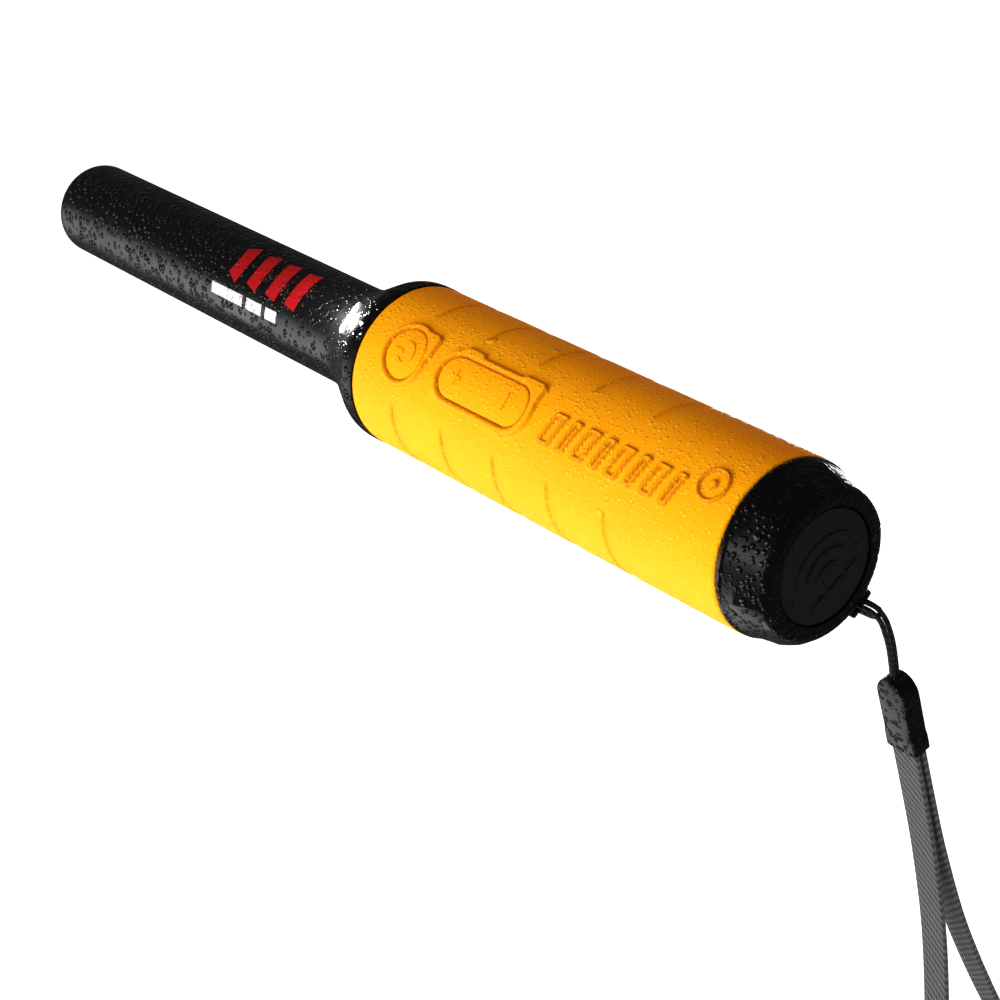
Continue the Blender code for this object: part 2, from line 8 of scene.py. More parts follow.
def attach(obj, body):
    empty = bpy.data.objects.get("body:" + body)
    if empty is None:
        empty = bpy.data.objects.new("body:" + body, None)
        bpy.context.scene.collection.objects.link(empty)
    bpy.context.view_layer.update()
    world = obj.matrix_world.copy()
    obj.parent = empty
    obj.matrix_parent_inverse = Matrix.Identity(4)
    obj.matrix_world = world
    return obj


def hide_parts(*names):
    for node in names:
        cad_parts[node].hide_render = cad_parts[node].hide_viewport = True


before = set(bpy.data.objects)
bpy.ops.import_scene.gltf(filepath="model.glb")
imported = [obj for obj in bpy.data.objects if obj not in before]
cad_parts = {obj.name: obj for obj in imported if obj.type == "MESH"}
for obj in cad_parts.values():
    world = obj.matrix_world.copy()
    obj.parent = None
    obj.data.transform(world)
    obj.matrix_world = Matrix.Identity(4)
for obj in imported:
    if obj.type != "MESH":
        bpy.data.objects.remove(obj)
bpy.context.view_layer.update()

# %% [markdown]
# A pinpointer probe: a slim black sensing tube, a yellow rubber grip with two push keys, and a
# screw-on battery cap with a wrist strap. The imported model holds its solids. Here its visible
# pieces are modelled again with finer forms, and every piece gets a finish.
#
# Lengths along the probe are counted in millimetres from its tip, as a tape laid along it would
# give them. The probe lies along X, and the middle of its grip is the origin.

# %% Sizes and places
MM = 0.001
GRIP_MIDDLE = 189.025
TUBE_RADIUS = 11.2
GRIP_RADIUS = 17.4
POWER_AT, LEVEL_AT = 149.3, 174.1
LEVEL_POSTS = (168.1, 180.1)
LUG_AT = 250.0
KEY_TURN = math.radians(33.5)
CAP_TURN = math.radians(27.0)


def reach(far):
    """X, in metres, of a distance from the tip."""
    return (far - GRIP_MIDDLE) * MM


def around(far, radius, turn):
    """A point at a radius from the probe's axis. A turn of 0 is the top and grows towards -Y."""
    out = radius * MM
    return Vector((reach(far), -out * math.sin(turn), out * math.cos(turn)))


# %% [markdown]
# The camera comes first. The strap's hidden length was measured against its view. It looks
# down on the probe from the cap's end, and it is rolled a little, so that the probe runs downhill.
# An 83 mm lens on a full frame keeps the perspective mild, as on a product shot.

# %% Camera
def placed(name, data):
    """A new object in the scene, for data that no operator adds with its settings."""
    item = bpy.data.objects.new(name, data)
    bpy.context.scene.collection.objects.link(item)
    return item


def add_camera():
    data = bpy.data.cameras.new("studio_camera")
    data.sensor_width = 36.0
    data.lens = 82.8
    camera = placed("studio_camera", data)
    right = Vector((0.6230, 0.7432, -0.2441)).normalized()
    up = Vector((-0.3369, 0.5365, 0.7737)).normalized()
    back = right.cross(up).normalized()
    up = back.cross(right).normalized()
    turn = Matrix((right, up, back)).transposed().to_4x4()
    camera.matrix_world = Matrix.Translation((0.3062, -0.1951, 0.2559)) @ turn
    bpy.context.scene.camera = camera
    return camera


CAMERA = add_camera()
print("camera at", [round(v, 3) for v in CAMERA.location])

# %% [markdown]
# Every piece is made by the same few moves. Everything is deselected first, because an operator
# acts on all that is selected. A finished piece keeps its object at the origin, with its place in
# its mesh, and its normals are made to point outwards.

# %% Helpers for pieces
def deselect_all():
    if bpy.context.mode != "OBJECT":
        bpy.ops.object.mode_set(mode="OBJECT")
    bpy.ops.object.select_all(action="DESELECT")


def pick(item):
    """Makes item the only selected object, and the active one."""
    deselect_all()
    item.select_set(True)
    bpy.context.view_layer.objects.active = item
    return item


def edit(item):
    pick(item)
    bpy.ops.object.mode_set(mode="EDIT")
    bpy.ops.mesh.select_all(action="SELECT")


def settle(item):
    """Puts the object's place, turn and scale into its mesh."""
    pick(item)
    bpy.ops.object.transform_apply(location=True, rotation=True, scale=True)
    return item


def outward(item):
    edit(item)
    bpy.ops.mesh.remove_doubles(threshold=0.000002)
    bpy.ops.mesh.normals_make_consistent(inside=False)
    bpy.ops.object.mode_set(mode="OBJECT")
    return item


def smooth(item, angle=35):
    pick(item)
    bpy.ops.object.shade_smooth_by_angle(angle=math.radians(angle))
    return item


def named(item, name):
    item.name = name
    item.data.name = name
    return item


def join(items, name):
    """Several meshes joined as one piece."""
    pick(items[0])
    for item in items:
        item.select_set(True)
    if len(items) > 1:
        bpy.ops.object.join()
    return named(bpy.context.view_layer.objects.active, name)


print("frame pieces:", len(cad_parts))

# %% [markdown]
# Some forms come from a modifier, which is applied at once: a bevel rounds the edges that a mould
# rounds, and a boolean joins or cuts as a core in the mould does.

# %% Bevels and cuts
def apply_all(item):
    pick(item)
    for modifier in list(item.modifiers):
        bpy.ops.object.modifier_apply(modifier=modifier.name)
    return item


def soften(item, width, segments=3, angle=30):
    bevel = item.modifiers.new("soft_edges", "BEVEL")
    bevel.width = width * MM
    bevel.segments = segments
    bevel.limit_method = "ANGLE"
    bevel.angle_limit = math.radians(angle)
    return apply_all(item)


def cut(item, other, operation="DIFFERENCE"):
    """Joins or cuts item with other, and takes other away."""
    step = item.modifiers.new("cut", "BOOLEAN")
    step.operation = operation
    step.object = other
    step.solver = "EXACT"
    apply_all(item)
    bpy.data.objects.remove(other, do_unlink=True)
    return item


# %% [markdown]
# A surface with a relief is made plain, and its points are then moved by rule. The rule reads each
# point along and round the probe.

# %% Reading and moving points
def points_of(item):
    flat = np.empty(len(item.data.vertices) * 3)
    item.data.vertices.foreach_get("co", flat)
    return flat.reshape(-1, 3)


def set_points(item, points):
    item.data.vertices.foreach_set("co", points.reshape(-1))
    item.data.update()


def unrolled(points, line):
    """Each point's distance from the tip, turn from a line along the probe, and radius."""
    radius = np.hypot(points[:, 1], points[:, 2]) / MM
    turn = np.arctan2(-points[:, 1], points[:, 2]) - line
    turn = (turn + math.pi) % (2 * math.pi) - math.pi
    return points[:, 0] / MM + GRIP_MIDDLE, turn, radius


# %% [markdown]
# Turned shapes are spun from an outline, as on a lathe. The outline starts as a circle, whose
# points are moved to the outline's corners. The spin runs about X, in one or more stretches, so
# that a side with fine relief can have closer steps than the plain side.

# %% Spinning an outline
def outlined(name, corners, fill):
    """A circle with a point for each corner, its points then moved to the corners in turn."""
    deselect_all()
    bpy.ops.mesh.primitive_circle_add(
        vertices=len(corners), radius=0.01, fill_type=fill, calc_uvs=False
    )
    item = named(bpy.context.view_layer.objects.active, name)
    set_points(item, np.array([tuple(corner) for corner in corners]))
    return item


def spun(name, outline, stretches=((0.0, 360.0, 96),)):
    """An outline of (distance from the tip, radius) spun about the probe's axis."""
    made = []
    for start, sweep, steps in stretches:
        turn = math.radians(start)
        item = outlined(name, [around(far, radius, turn) for far, radius in outline], "NOTHING")
        edit(item)
        bpy.ops.mesh.spin(
            steps=steps, angle=math.radians(sweep), center=(0, 0, 0), axis=(-1, 0, 0)
        )
        bpy.ops.object.mode_set(mode="OBJECT")
        made.append(item)
    return outward(join(made, name))


def spaced(start, end, step):
    """Distances from start to end, about a step apart, with both ends."""
    count = max(1, round(abs(end - start) / step))
    return [start + (end - start) * i / count for i in range(count + 1)]


def bend(start, control, end, count=8):
    """Points on a quadratic curve, for a round stretch of an outline."""
    made = []
    for i in range(count + 1):
        u = i / count
        shares = ((1 - u) ** 2, 2 * u * (1 - u), u * u)
        made.append(tuple(np.dot(shares, axis) for axis in zip(start, control, end)))
    return made


# %% [markdown]
# Raised and sunk details on a round surface are easiest to draw flat. A flat drawing has X as the
# distance from the tip and Y as the distance round the surface from the key line, and it is then
# wrapped: each point keeps its height and takes its angle from its distance round.

# %% Wrapping a flat piece round the grip
def wrapped(item, radius, line=KEY_TURN):
    """Wraps a flat piece, in metres, round a radius in millimetres, about a line on the probe."""
    flat = points_of(item)
    turn = line + flat[:, 1] / (radius * MM)
    high = radius * MM + flat[:, 2]
    set_points(item, np.stack([flat[:, 0], -high * np.sin(turn), high * np.cos(turn)], axis=1))
    return outward(item)


def slab(name, outline, low, high):
    """A flat outline of (distance from the tip, distance round) drawn up from low to high."""
    corners = [(reach(far), side * MM, low * MM) for far, side in outline]
    item = outlined(name, corners, "NGON")
    edit(item)
    rise_by = {"value": (0.0, 0.0, (high - low) * MM)}
    bpy.ops.mesh.extrude_region_move(TRANSFORM_OT_translate=rise_by)
    bpy.ops.mesh.select_all(action="SELECT")
    bpy.ops.mesh.normals_make_consistent(inside=False)
    bpy.ops.object.mode_set(mode="OBJECT")
    return item


def stadium(middle, half_long, half_wide, arc=16):
    """A pill outline along the probe, about a point on the key line."""
    points = []
    for end in (1, -1):
        for i in range(arc + 1):
            turn = math.radians(-90 + 180 * i / arc)
            far = middle + end * (half_long - half_wide + half_wide * math.cos(turn))
            points.append((far, end * half_wide * math.sin(turn)))
    if half_long <= half_wide + 1e-9:
        points = [p for i, p in enumerate(points) if i not in (arc + 1, 2 * arc + 1)]
    return points


def upright(name, outline, low, high, turn=KEY_TURN):
    """A slab that stands straight up over a line along the probe, as a cutter does."""
    item = slab(name, outline, low, high)
    flat = points_of(item)
    side, up = flat[:, 1], flat[:, 2]
    y = -up * math.sin(turn) - side * math.cos(turn)
    z = up * math.cos(turn) - side * math.sin(turn)
    set_points(item, np.stack([flat[:, 0], y, z], axis=1))
    return outward(item)


# %% [markdown]
# A material is a small graph of nodes. Colours are written as on a paint chart, in sRGB hex, and
# made linear once, because a shader works with linear light. One helper adds a node with its
# settings and its links. A link's name is a socket's name, or i and a number for its place.

# %% Helpers for materials
MULTIPLY = {"operation": "MULTIPLY"}
TWO_COLOURS = {"data_type": "RGBA"}


def linear(code):
    """An sRGB hex colour as linear red, green and blue."""
    channels = [int(code[i : i + 2], 16) / 255 for i in (0, 2, 4)]
    return tuple(v / 12.92 if v <= 0.04045 else ((v + 0.055) / 1.055) ** 2.4 for v in channels)


def node(tree, kind, settings=None, **links):
    """Adds a node. Each link is a value for a socket, or a socket to join to it."""
    made = tree.nodes.new(kind)
    for key, value in (settings or {}).items():
        setattr(made, key, value)
    for key, value in links.items():
        by_place = key[0] == "i" and key[1:].isdigit()
        spot = made.inputs[int(key[1:]) if by_place else key.replace("_", " ")]
        if isinstance(value, bpy.types.NodeSocket):
            tree.links.new(value, spot)
        else:
            spot.default_value = value
    return made


def finish_of(name, colour, roughness, metallic=0.0, **values):
    """A material with one principled shader, and its tree, shader and object coordinates."""
    made = bpy.data.materials.new(name)
    made.use_nodes = True
    tree = made.node_tree
    shader = tree.nodes["Principled BSDF"]
    shader.inputs["Base Color"].default_value = (*linear(colour), 1.0)
    shader.inputs["Roughness"].default_value = roughness
    shader.inputs["Metallic"].default_value = metallic
    for key, value in values.items():
        shader.inputs[key.replace("_", " ")].default_value = value
    where = node(tree, "ShaderNodeTexCoord").outputs["Object"]
    return made, tree, shader, where


# %% [markdown]
# Three things come back in many finishes. A surface is never quite even, so a value drifts over
# it. A mould, a roller or a weave leaves a relief in it, whose depth is known in millimetres. And
# a pattern chooses between two close colours of the same stuff. Grain finer than 0.1 mm would only
# flicker in a view of the whole probe, so the finest is drawn two or three times coarser than life.

# %% Drift, relief and two colours
def drifting(tree, where, size_mm, detail, *limits):
    """A value that drifts over the surface. Limits are the noise's range and the value's range."""
    cloud = node(
        tree, "ShaderNodeTexNoise", Vector=where, Scale=1000 / size_mm, Detail=detail
    ).outputs[0]
    sockets = {f"i{place + 1}": limit for place, limit in enumerate(limits)}
    return node(tree, "ShaderNodeMapRange", Value=cloud, **sockets).outputs[0]


def relief(tree, shader, pattern, depth_mm):
    """Raises a finish by depth_mm where its pattern, of 0 to 1, is 1."""
    height = node(tree, "ShaderNodeMath", MULTIPLY, i0=pattern, i1=depth_mm * MM).outputs[0]
    raised = node(tree, "ShaderNodeBump", Height=height, Distance=1.0)
    tree.links.new(raised.outputs[0], shader.inputs["Normal"])


def fine_skin(tree, shader, where, size_mm, depth_mm, detail=2.0):
    """A fine, even grain."""
    grain = node(tree, "ShaderNodeTexNoise", Vector=where, Scale=1000 / size_mm, Detail=detail)
    relief(tree, shader, grain.outputs[0], depth_mm)


def two_tone(tree, shader, amount, first, second):
    """Lets a pattern choose the finish's colour between two."""
    made = node(
        tree, "ShaderNodeMix", TWO_COLOURS,
        i0=amount, i6=(*linear(first), 1.0), i7=(*linear(second), 1.0),
    )
    tree.links.new(made.outputs[2], shader.inputs["Base Color"])
    return made


# %% [markdown]
# The probe has been out in the rain, and fine drops stand on all of it. Each cell of a Voronoi
# pattern holds one drop: the distance from the cell's middle gives a dome, and the cell's random
# number gives the drop its size or leaves the cell dry. A drop is smoother than what it stands on,
# so the same mask that raises it lowers the roughness.

# %% Water drops
def drops(tree, where, cell_mm, smallest, largest, share, dome):
    """(height in metres, mask) of drops. Sizes are radii as parts of a cell."""
    cells = node(tree, "ShaderNodeTexVoronoi", Vector=where, Scale=1000 / cell_mm, Randomness=0.85)
    chance = node(tree, "ShaderNodeSeparateColor", Color=cells.outputs["Color"]).outputs
    size = node(tree, "ShaderNodeMapRange", Value=chance[0], i3=smallest, i4=largest)
    found = {"size": size.outputs[0], "chance": chance[1], "far": cells.outputs["Distance"]}
    for result, operation, first, second in (
        ("wet", "LESS_THAN", "chance", share),
        ("size", "MULTIPLY", "size", "wet"),
        ("size", "MAXIMUM", "size", 0.001),
        ("ratio", "DIVIDE", "far", "size"),
        ("square", "MULTIPLY", "ratio", "ratio"),
        ("rest", "SUBTRACT", 1.0, "square"),
        ("inside", "MAXIMUM", "rest", 0.0),
        ("round", "SQRT", "inside", 0.0),
        ("height", "MULTIPLY", "round", "size"),
        ("height", "MULTIPLY", "height", cell_mm * MM * dome),
    ):
        sockets = {"i0": found.get(first, first), "i1": found.get(second, second)}
        step = node(tree, "ShaderNodeMath", {"operation": operation}, **sockets)
        found[result] = step.outputs[0]
    mask = node(tree, "ShaderNodeMapRange", Value=found["inside"], i2=0.12)
    return found["height"], mask.outputs[0]


def rained_on(
    tree, shader, where, fine=1.5, coarse=4.5, fine_share=0.75, coarse_share=0.35, dome=0.6,
    sizes=(0.2, 0.5),
):
    """Adds fine and coarse drops over a finish whose roughness and relief are already set."""
    small = drops(tree, where, fine, *sizes, fine_share, dome)
    large = drops(tree, where, coarse, 0.1, 0.3, coarse_share, dome)
    higher = {"operation": "MAXIMUM"}
    height = node(tree, "ShaderNodeMath", higher, i0=small[0], i1=large[0]).outputs[0]
    mask = node(tree, "ShaderNodeMath", higher, i0=small[1], i1=large[1]).outputs[0]
    spot = shader.inputs["Roughness"]
    dry = spot.links[0].from_socket if spot.is_linked else spot.default_value
    wet = node(tree, "ShaderNodeMix", i0=mask, i2=dry, i3=0.05)
    tree.links.new(wet.outputs[0], spot)
    face = shader.inputs["Normal"]
    below = {"Normal": face.links[0].from_socket} if face.is_linked else {}
    raised = node(tree, "ShaderNodeBump", Height=height, Distance=1.0, **below)
    tree.links.new(raised.outputs[0], face)
    return mask


# %% [markdown]
# The tube, the collar and the cap are moulded ABS. The skin copies a spark-eroded mould, so it is
# finely grained and satin, and it gives the eye one soft grey band where the light lies along it.
# The cap's mould is polished, so its flats reflect more. Handling leaves some patches duller.

# %% Moulded ABS
BEADS = {"sizes": (0.3, 0.56), "fine_share": 1.0}


def moulded_abs(name, colour, roughness, **rain):
    made, tree, shader, where = finish_of(
        name, colour, roughness, IOR=1.5, Specular_IOR_Level=0.36
    )
    handled = drifting(tree, where, 14.0, 4.0, 0.35, 0.7, roughness - 0.06, roughness + 0.08)
    tree.links.new(handled, shader.inputs["Roughness"])
    fine_skin(tree, shader, where, 0.12, 0.012)
    rained_on(tree, shader, where, **rain)
    return made


ABS_SATIN = moulded_abs(
    "moulded_abs_satin_black", "060607", 0.31, fine=1.7, coarse_share=0.4, dome=0.75, **BEADS
)
ABS_COLLAR = moulded_abs("moulded_abs_collar_black", "060607", 0.36, fine=1.5, dome=0.7, **BEADS)
ABS_POLISHED = moulded_abs(
    "moulded_abs_polished_black", "040405", 0.27,
    fine=1.25, coarse=3.6, coarse_share=0.6, dome=0.7, **BEADS,
)
ABS_FITTING = moulded_abs(
    "moulded_abs_fitting_black", "050506", 0.3, fine=1.15, coarse=3.0, dome=0.9, **BEADS
)
ABS_BADGE = moulded_abs(
    "moulded_abs_badge_black", "121213", 0.45, fine_share=0.12, coarse_share=0.05
)
print("moulded ABS:", [m.name for m in (ABS_SATIN, ABS_COLLAR, ABS_POLISHED, ABS_FITTING)])

# %% [markdown]
# The grip is a thermoplastic elastomer moulded over the housing. It is a soft, saturated yellow
# with a dull skin, a little of the light goes into it, and the rain beads on it in small drops.
# Creases are painted a darker, deeper orange than the open surface, as painted shade for the
# shade that falls in them. The piece says where they are, in a point attribute.

# %% Moulded elastomer
def moulded_elastomer():
    made, tree, shader, where = finish_of(
        "moulded_elastomer_yellow", "f7a50b", 0.62, IOR=1.48, Specular_IOR_Level=0.1,
        Subsurface_Weight=0.1, Subsurface_Radius=(0.9, 0.35, 0.05), Subsurface_Scale=0.0012,
    )
    cloudy = drifting(tree, where, 22.0, 3.0, 0.3, 0.75)
    open_colour = two_tone(tree, shader, cloudy, "f7a50b", "f29c09").outputs[2]
    # Painted shade: where the piece marks a crease, the yellow is turned to a dark orange.
    crease_shade = node(tree, "ShaderNodeAttribute", {"attribute_name": "crease_shade"}).outputs["Fac"]
    shaded = two_tone(tree, shader, crease_shade, "f7a50b", "b86404")
    tree.links.new(open_colour, shaded.inputs[6])
    fine_skin(tree, shader, where, 0.22, 0.02)
    rain = {"fine": 0.95, "coarse": 5.5, "fine_share": 1.0, "coarse_share": 0.1, "dome": 0.42}
    wet = rained_on(tree, shader, where, **rain)
    # Painted highlight: under each drop the yellow is mixed a little towards a light yellow, for
    # the light the drop gathers.
    clear = node(tree, "ShaderNodeMath", MULTIPLY, i0=wet, i1=0.3).outputs[0]
    lens = two_tone(tree, shader, clear, "f7a50b", "ffc62c")
    tree.links.new(shaded.outputs[2], lens.inputs[6])
    return made


ELASTOMER = moulded_elastomer()
print("finish:", ELASTOMER.name)

# %% [markdown]
# The tube is one plain moulding, closed at the tip with a rounded edge. It is spun from its whole
# outline, wall included, so that it is as hollow as the real one.

# %% Sensing tube
def make_tube():
    rim = bend((2.6, 11.2), (0.0, 11.2), (0.0, 8.6), 10)
    outline = [(2.4, 0.05), (2.4, 9.4), (135.6, 9.4), (135.6, 10.6), (117.0, 10.6), (117.0, 11.1)]
    outline += [(far, TUBE_RADIUS) for far in (116.9, *spaced(116.0, 4.0, 8.0))]
    outline += [*rim, (0.0, 0.05)]
    tube = smooth(spun("tube_skin", outline, ((0.0, 360.0, 128),)))
    tube.data.materials.append(ABS_SATIN)
    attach(tube, "probe")
    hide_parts("nose_tube")
    return tube


TUBE = make_tube()
print("tube:", len(TUBE.data.polygons), "faces")

# %% [markdown]
# The tube carries a generic printed mark: arcs that spread like waves from the tip, and a broken
# line under them. Ink has no depth to speak of, but a thin real layer renders and exports well, so
# each shape is a flat slab 0.06 mm thick, cut into strips so that it can bend round the tube.

# %% Printed mark
def sliced(item, spacing=0.5):
    """Cuts a flat piece into strips across the key line, so that it can bend round."""
    side = points_of(item)[:, 1]
    edit(item)
    for place in spaced(side.min() / MM, side.max() / MM, spacing)[1:-1]:
        bpy.ops.mesh.select_all(action="SELECT")
        bpy.ops.mesh.bisect(plane_co=(0.0, place * MM, 0.0), plane_no=(0.0, 1.0, 0.0))
    bpy.ops.object.mode_set(mode="OBJECT")
    return item


def arc_outline(far, side, inner, outer, start, end, count=24):
    """A band of a ring about a flat point, between two angles in degrees."""
    turns = [math.radians(start + (end - start) * i / count) for i in range(count + 1)]
    outside = [(far + outer * math.cos(a), side + outer * math.sin(a)) for a in turns]
    inside = [(far + inner * math.cos(a), side + inner * math.sin(a)) for a in reversed(turns)]
    return outside + inside


def printed_ink(name, colour):
    made, tree, shader, where = finish_of(name, colour, 0.3, IOR=1.5)
    rained_on(tree, shader, where)
    return made


def drawn_round(name, outlines, low, high, strip, radius, line=KEY_TURN):
    """Flat outlines, each made a slab of strips, wrapped together as one piece."""
    flats = [sliced(slab(name, outline, low, high), strip) for outline in outlines]
    return wrapped(join(flats, name), radius, line)


def make_print(name, outlines, line, colour):
    piece = drawn_round(name, outlines, -0.03, 0.03, 0.6, TUBE_RADIUS, math.radians(line))
    piece.data.materials.append(printed_ink(f"{name}_ink", colour))
    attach(piece, "probe")
    return piece


WAVES = []
for middle in (9.0, 16.5, 24.0, 31.5):
    half = math.degrees(math.asin(5.2 / (middle + 2.0)))
    WAVES.append(arc_outline(70.0, 0.0, middle - 2.0, middle + 2.0, -half, half))
PRINT_RED = make_print("printed_waves", WAVES, 18.5, "9c0d13")
SPANS = ((71.5, 84.0), (85.6, 91.6), (93.2, 97.5))
BARS = [[(a, -1.3), (b, -1.3), (b, 1.3), (a, 1.3)] for a, b in SPANS]
PRINT_WHITE = make_print("printed_line", BARS, 61.0, "c4c6c8")
print("printed mark:", len(PRINT_RED.data.polygons) + len(PRINT_WHITE.data.polygons), "faces")

# %% [markdown]
# The housing flares from the tube's width to the grip's in a short cone, and its round front edge
# is the black collar. The rest of it is a plain barrel under the rubber. A slot across the cone
# holds the lamp's lens, and it is cut square to the cone's slope.

# %% Housing and its collar
LAMP_TURN = math.radians(26.0)
LAMP_AT = 124.6
LAMP_R = 14.25
LAMP_SLOPE = math.radians(26.6)


def on_slope(item):
    """Moves a flat piece made about the origin to the lamp's place, square to the slope."""
    tilt = Matrix.Rotation(-LAMP_SLOPE, 4, "Y")
    up = Matrix.Translation((reach(LAMP_AT), 0.0, LAMP_R * MM))
    item.matrix_world = Matrix.Rotation(LAMP_TURN, 4, "X") @ up @ tilt
    return settle(item)


def lamp_slab(name, half_wide, half_long, low, high):
    outline = [(GRIP_MIDDLE + y, x) for x, y in stadium(0.0, half_wide, half_long, 12)]
    return slab(name, outline, low, high)


def make_housing():
    rim = bend((133.0, 17.65), (131.3, 17.65), (130.0, 16.95), 8)
    foot = bend((122.0, 12.95), (119.6, 11.75), (117.3, 11.65), 8)
    outline = [(242.75, 16.3), (136.0, 16.3), (135.0, 16.3), (135.0, 17.6), (134.9, 17.65)]
    outline += [*rim, *foot]
    outline += [(117.3, 10.9), (128.3, 10.9), (128.3, 12.5), (130.7, 12.5), (130.7, 10.9)]
    outline += [(131.6, 10.9), (131.6, 14.1), (137.0, 14.1), (138.0, 15.1)]
    outline += [(234.5, 15.1), (235.0, 15.65), (242.75, 15.65)]
    housing = spun("housing_skin", outline, ((0.0, 360.0, 128),))
    cut(housing, outward(on_slope(lamp_slab("lamp_pocket", 4.1, 1.8, -2.7, 2.5))))
    for index, far in enumerate((POWER_AT, *LEVEL_POSTS)):
        cut(housing, upright(f"post_hole_{index}", stadium(far, 2.4, 2.4, 10), 13.0, 19.0))
    smooth(housing, 30)
    housing.data.materials.append(ABS_COLLAR)
    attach(housing, "probe")
    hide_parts("main_housing")
    return housing


HOUSING = make_housing()
print("housing:", len(HOUSING.data.polygons), "faces")

# %% [markdown]
# The lamp is lit. Its lens is clear polycarbonate over a white diode, so the lens itself seems to
# glow, and a small light in front of it washes the wet tube. The glow is the shader's emission.

# %% Lamp
def lit_lens():
    """Brightest in the middle, where the diode shines through, and dim at the rim."""
    made, tree, shader, where = finish_of("lit_polycarbonate_lens", "f4f8ff", 0.12, IOR=1.58)
    shader.inputs["Emission Color"].default_value = (*linear("eef4ff"), 1.0)
    middle = tuple(around(LAMP_AT, LAMP_R, LAMP_TURN))
    away = node(tree, "ShaderNodeVectorMath", {"operation": "DISTANCE"}, i0=where, i1=middle)
    near = node(tree, "ShaderNodeMapRange", Value=away.outputs["Value"], i2=0.0034, i3=1.0, i4=0.0)
    square = node(tree, "ShaderNodeMath", MULTIPLY, i0=near.outputs[0], i1=near.outputs[0])
    glow = {"operation": "MULTIPLY_ADD"}
    strength = node(tree, "ShaderNodeMath", glow, i0=square.outputs[0], i1=5.0, i2=0.12)
    tree.links.new(strength.outputs[0], shader.inputs["Emission Strength"])
    fine_skin(tree, shader, where, 0.5, 0.06, 1.0)
    return made


def make_lens():
    lens = soften(lamp_slab("lens_skin", 3.8, 1.5, -1.2, 0.35), 0.4, 3)
    smooth(outward(on_slope(lens)), 40)
    lens.data.materials.append(lit_lens())
    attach(lens, "probe")
    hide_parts("lamp_lens")
    return lens


LENS = make_lens()
print("lens:", len(LENS.data.polygons), "faces")

# %% [markdown]
# The grip is one soft moulding, so its frames round the keys, its raised badge and its grip lines
# melt into the surface instead of standing on it. It is spun with close steps on the key side, and
# its surface is then pushed out and in by one relief drawn in flat distances: how far a point lies
# inside a frame or a bar sets how high it stands, with a soft fillet at the foot.

# %% Distances on the grip
def to_pill(far, side, middle, half_long, half_wide):
    """Distance to a pill's edge, negative inside it."""
    along = np.maximum(np.abs(far - middle) - (half_long - half_wide), 0.0)
    return np.hypot(along, side) - half_wide


def to_block(far, side, middle, across, half_long, half_wide, corner):
    along = np.abs(far - middle) - (half_long - corner)
    over = np.abs(side - across) - (half_wide - corner)
    inside = np.minimum(np.maximum(along, over), 0.0)
    return np.hypot(np.maximum(along, 0.0), np.maximum(over, 0.0)) + inside - corner


def rise(distance, fillet):
    """1 well inside an edge and 0 outside it, with a smooth step between."""
    u = np.clip(-distance / fillet, 0.0, 1.0)
    return u * u * (3.0 - 2.0 * u)


def to_opening(far, side):
    """Distance to the nearer key opening's edge."""
    power = to_pill(far, side, POWER_AT, 5.4, 5.4)
    return np.minimum(power, to_pill(far, side, LEVEL_AT, 13.0, 4.4))


def steepness(height, far, side, step=0.2):
    """How much a height changes about each point, from two steps each way."""
    along = height(far + step, side) - height(far - step, side)
    return np.hypot(along, height(far, side + step) - height(far, side - step))


# %% [markdown]
# The relief has three parts: frames round the keys with a low lip at each opening, a badge of open
# bars and a ring, and five grooves round the back that stop the grip from turning in a wet hand.

# %% Relief of the grip
def key_frames(far, side):
    power = to_pill(far, side, POWER_AT, 7.0, 7.0)
    power = np.minimum(power, to_block(far, side, 153.0, -3.1, 3.7, 3.3, 1.9))
    level = to_pill(far, side, LEVEL_AT, 15.2, 6.1)
    for middle, across, half_long, half_wide in (
        (166.6, -4.3, 3.6, 2.6),
        (184.9, -3.0, 4.1, 3.6),
        (181.0, 4.4, 3.4, 2.3),
        (163.4, 2.6, 3.4, 2.7),
    ):
        level = np.minimum(level, to_block(far, side, middle, across, half_long, half_wide, 1.7))
    falling = np.clip(to_opening(far, side) / 0.75, 0.0, 1.0)
    frames = np.maximum(rise(power, 0.5), rise(level, 0.5)) * 0.85
    return frames * (1.0 - (1.0 - falling) ** 2)


def raised_badge(far, side):
    """A row of slanted bars, and a ring with a dot: a generic mark where a maker puts a name."""
    height = np.zeros_like(far)
    for index in range(8):
        middle = 195.4 + 4.7 * index
        half_long = (1.8, 1.2)[index % 2]
        slanted = far + 0.3 * (side - 0.7)
        block = to_block(slanted, side, middle, 0.7, half_long, 3.5, 0.5)
        height = np.maximum(height, rise(np.maximum(block, -1.1 - block), 0.3))
    apart = np.hypot(far - 236.0, side + 3.1)
    height = np.maximum(height, rise(np.abs(apart - 3.1) - 0.45, 0.3))
    return np.maximum(height, rise(apart - 1.0, 0.3)) * 0.6


def grip_lines(far, turn):
    """Five shallow grooves that run round the back, and fade out on each side of the key line."""
    away = np.abs(np.degrees(turn))
    fade = np.clip((away - 33.0) / 9.0, 0.0, 1.0) ** 0.5
    depth = np.zeros_like(far)
    for middle in (149.0, 165.2, 181.4, 197.6, 213.8):
        past = far - middle
        groove = np.clip(1.0 - np.abs(past) / 0.6, 0.0, 1.0) ** 0.8
        ramp_back = 0.35 * np.clip(past / 0.3, 0.0, 1.0) * np.clip(1.0 - past / 4.0, 0.0, 1.0)
        depth = np.maximum(depth, np.maximum(groove, ramp_back))
    return depth * fade * 0.5


def grip_height(far, turn, radius):
    side = turn * radius
    return key_frames(far, side) + raised_badge(far, side) - grip_lines(far, turn)


# %% [markdown]
# The sleeve's outline is a thin wall with a point every 0.3 mm along the grip, so that the relief
# has enough points to show. Its openings are cut last, straight down, as the mould's cores are.

# %% Grip sleeve
def grip_radius(far):
    return 17.5 - 0.3 * (far - 135.3) / (242.75 - 135.3)


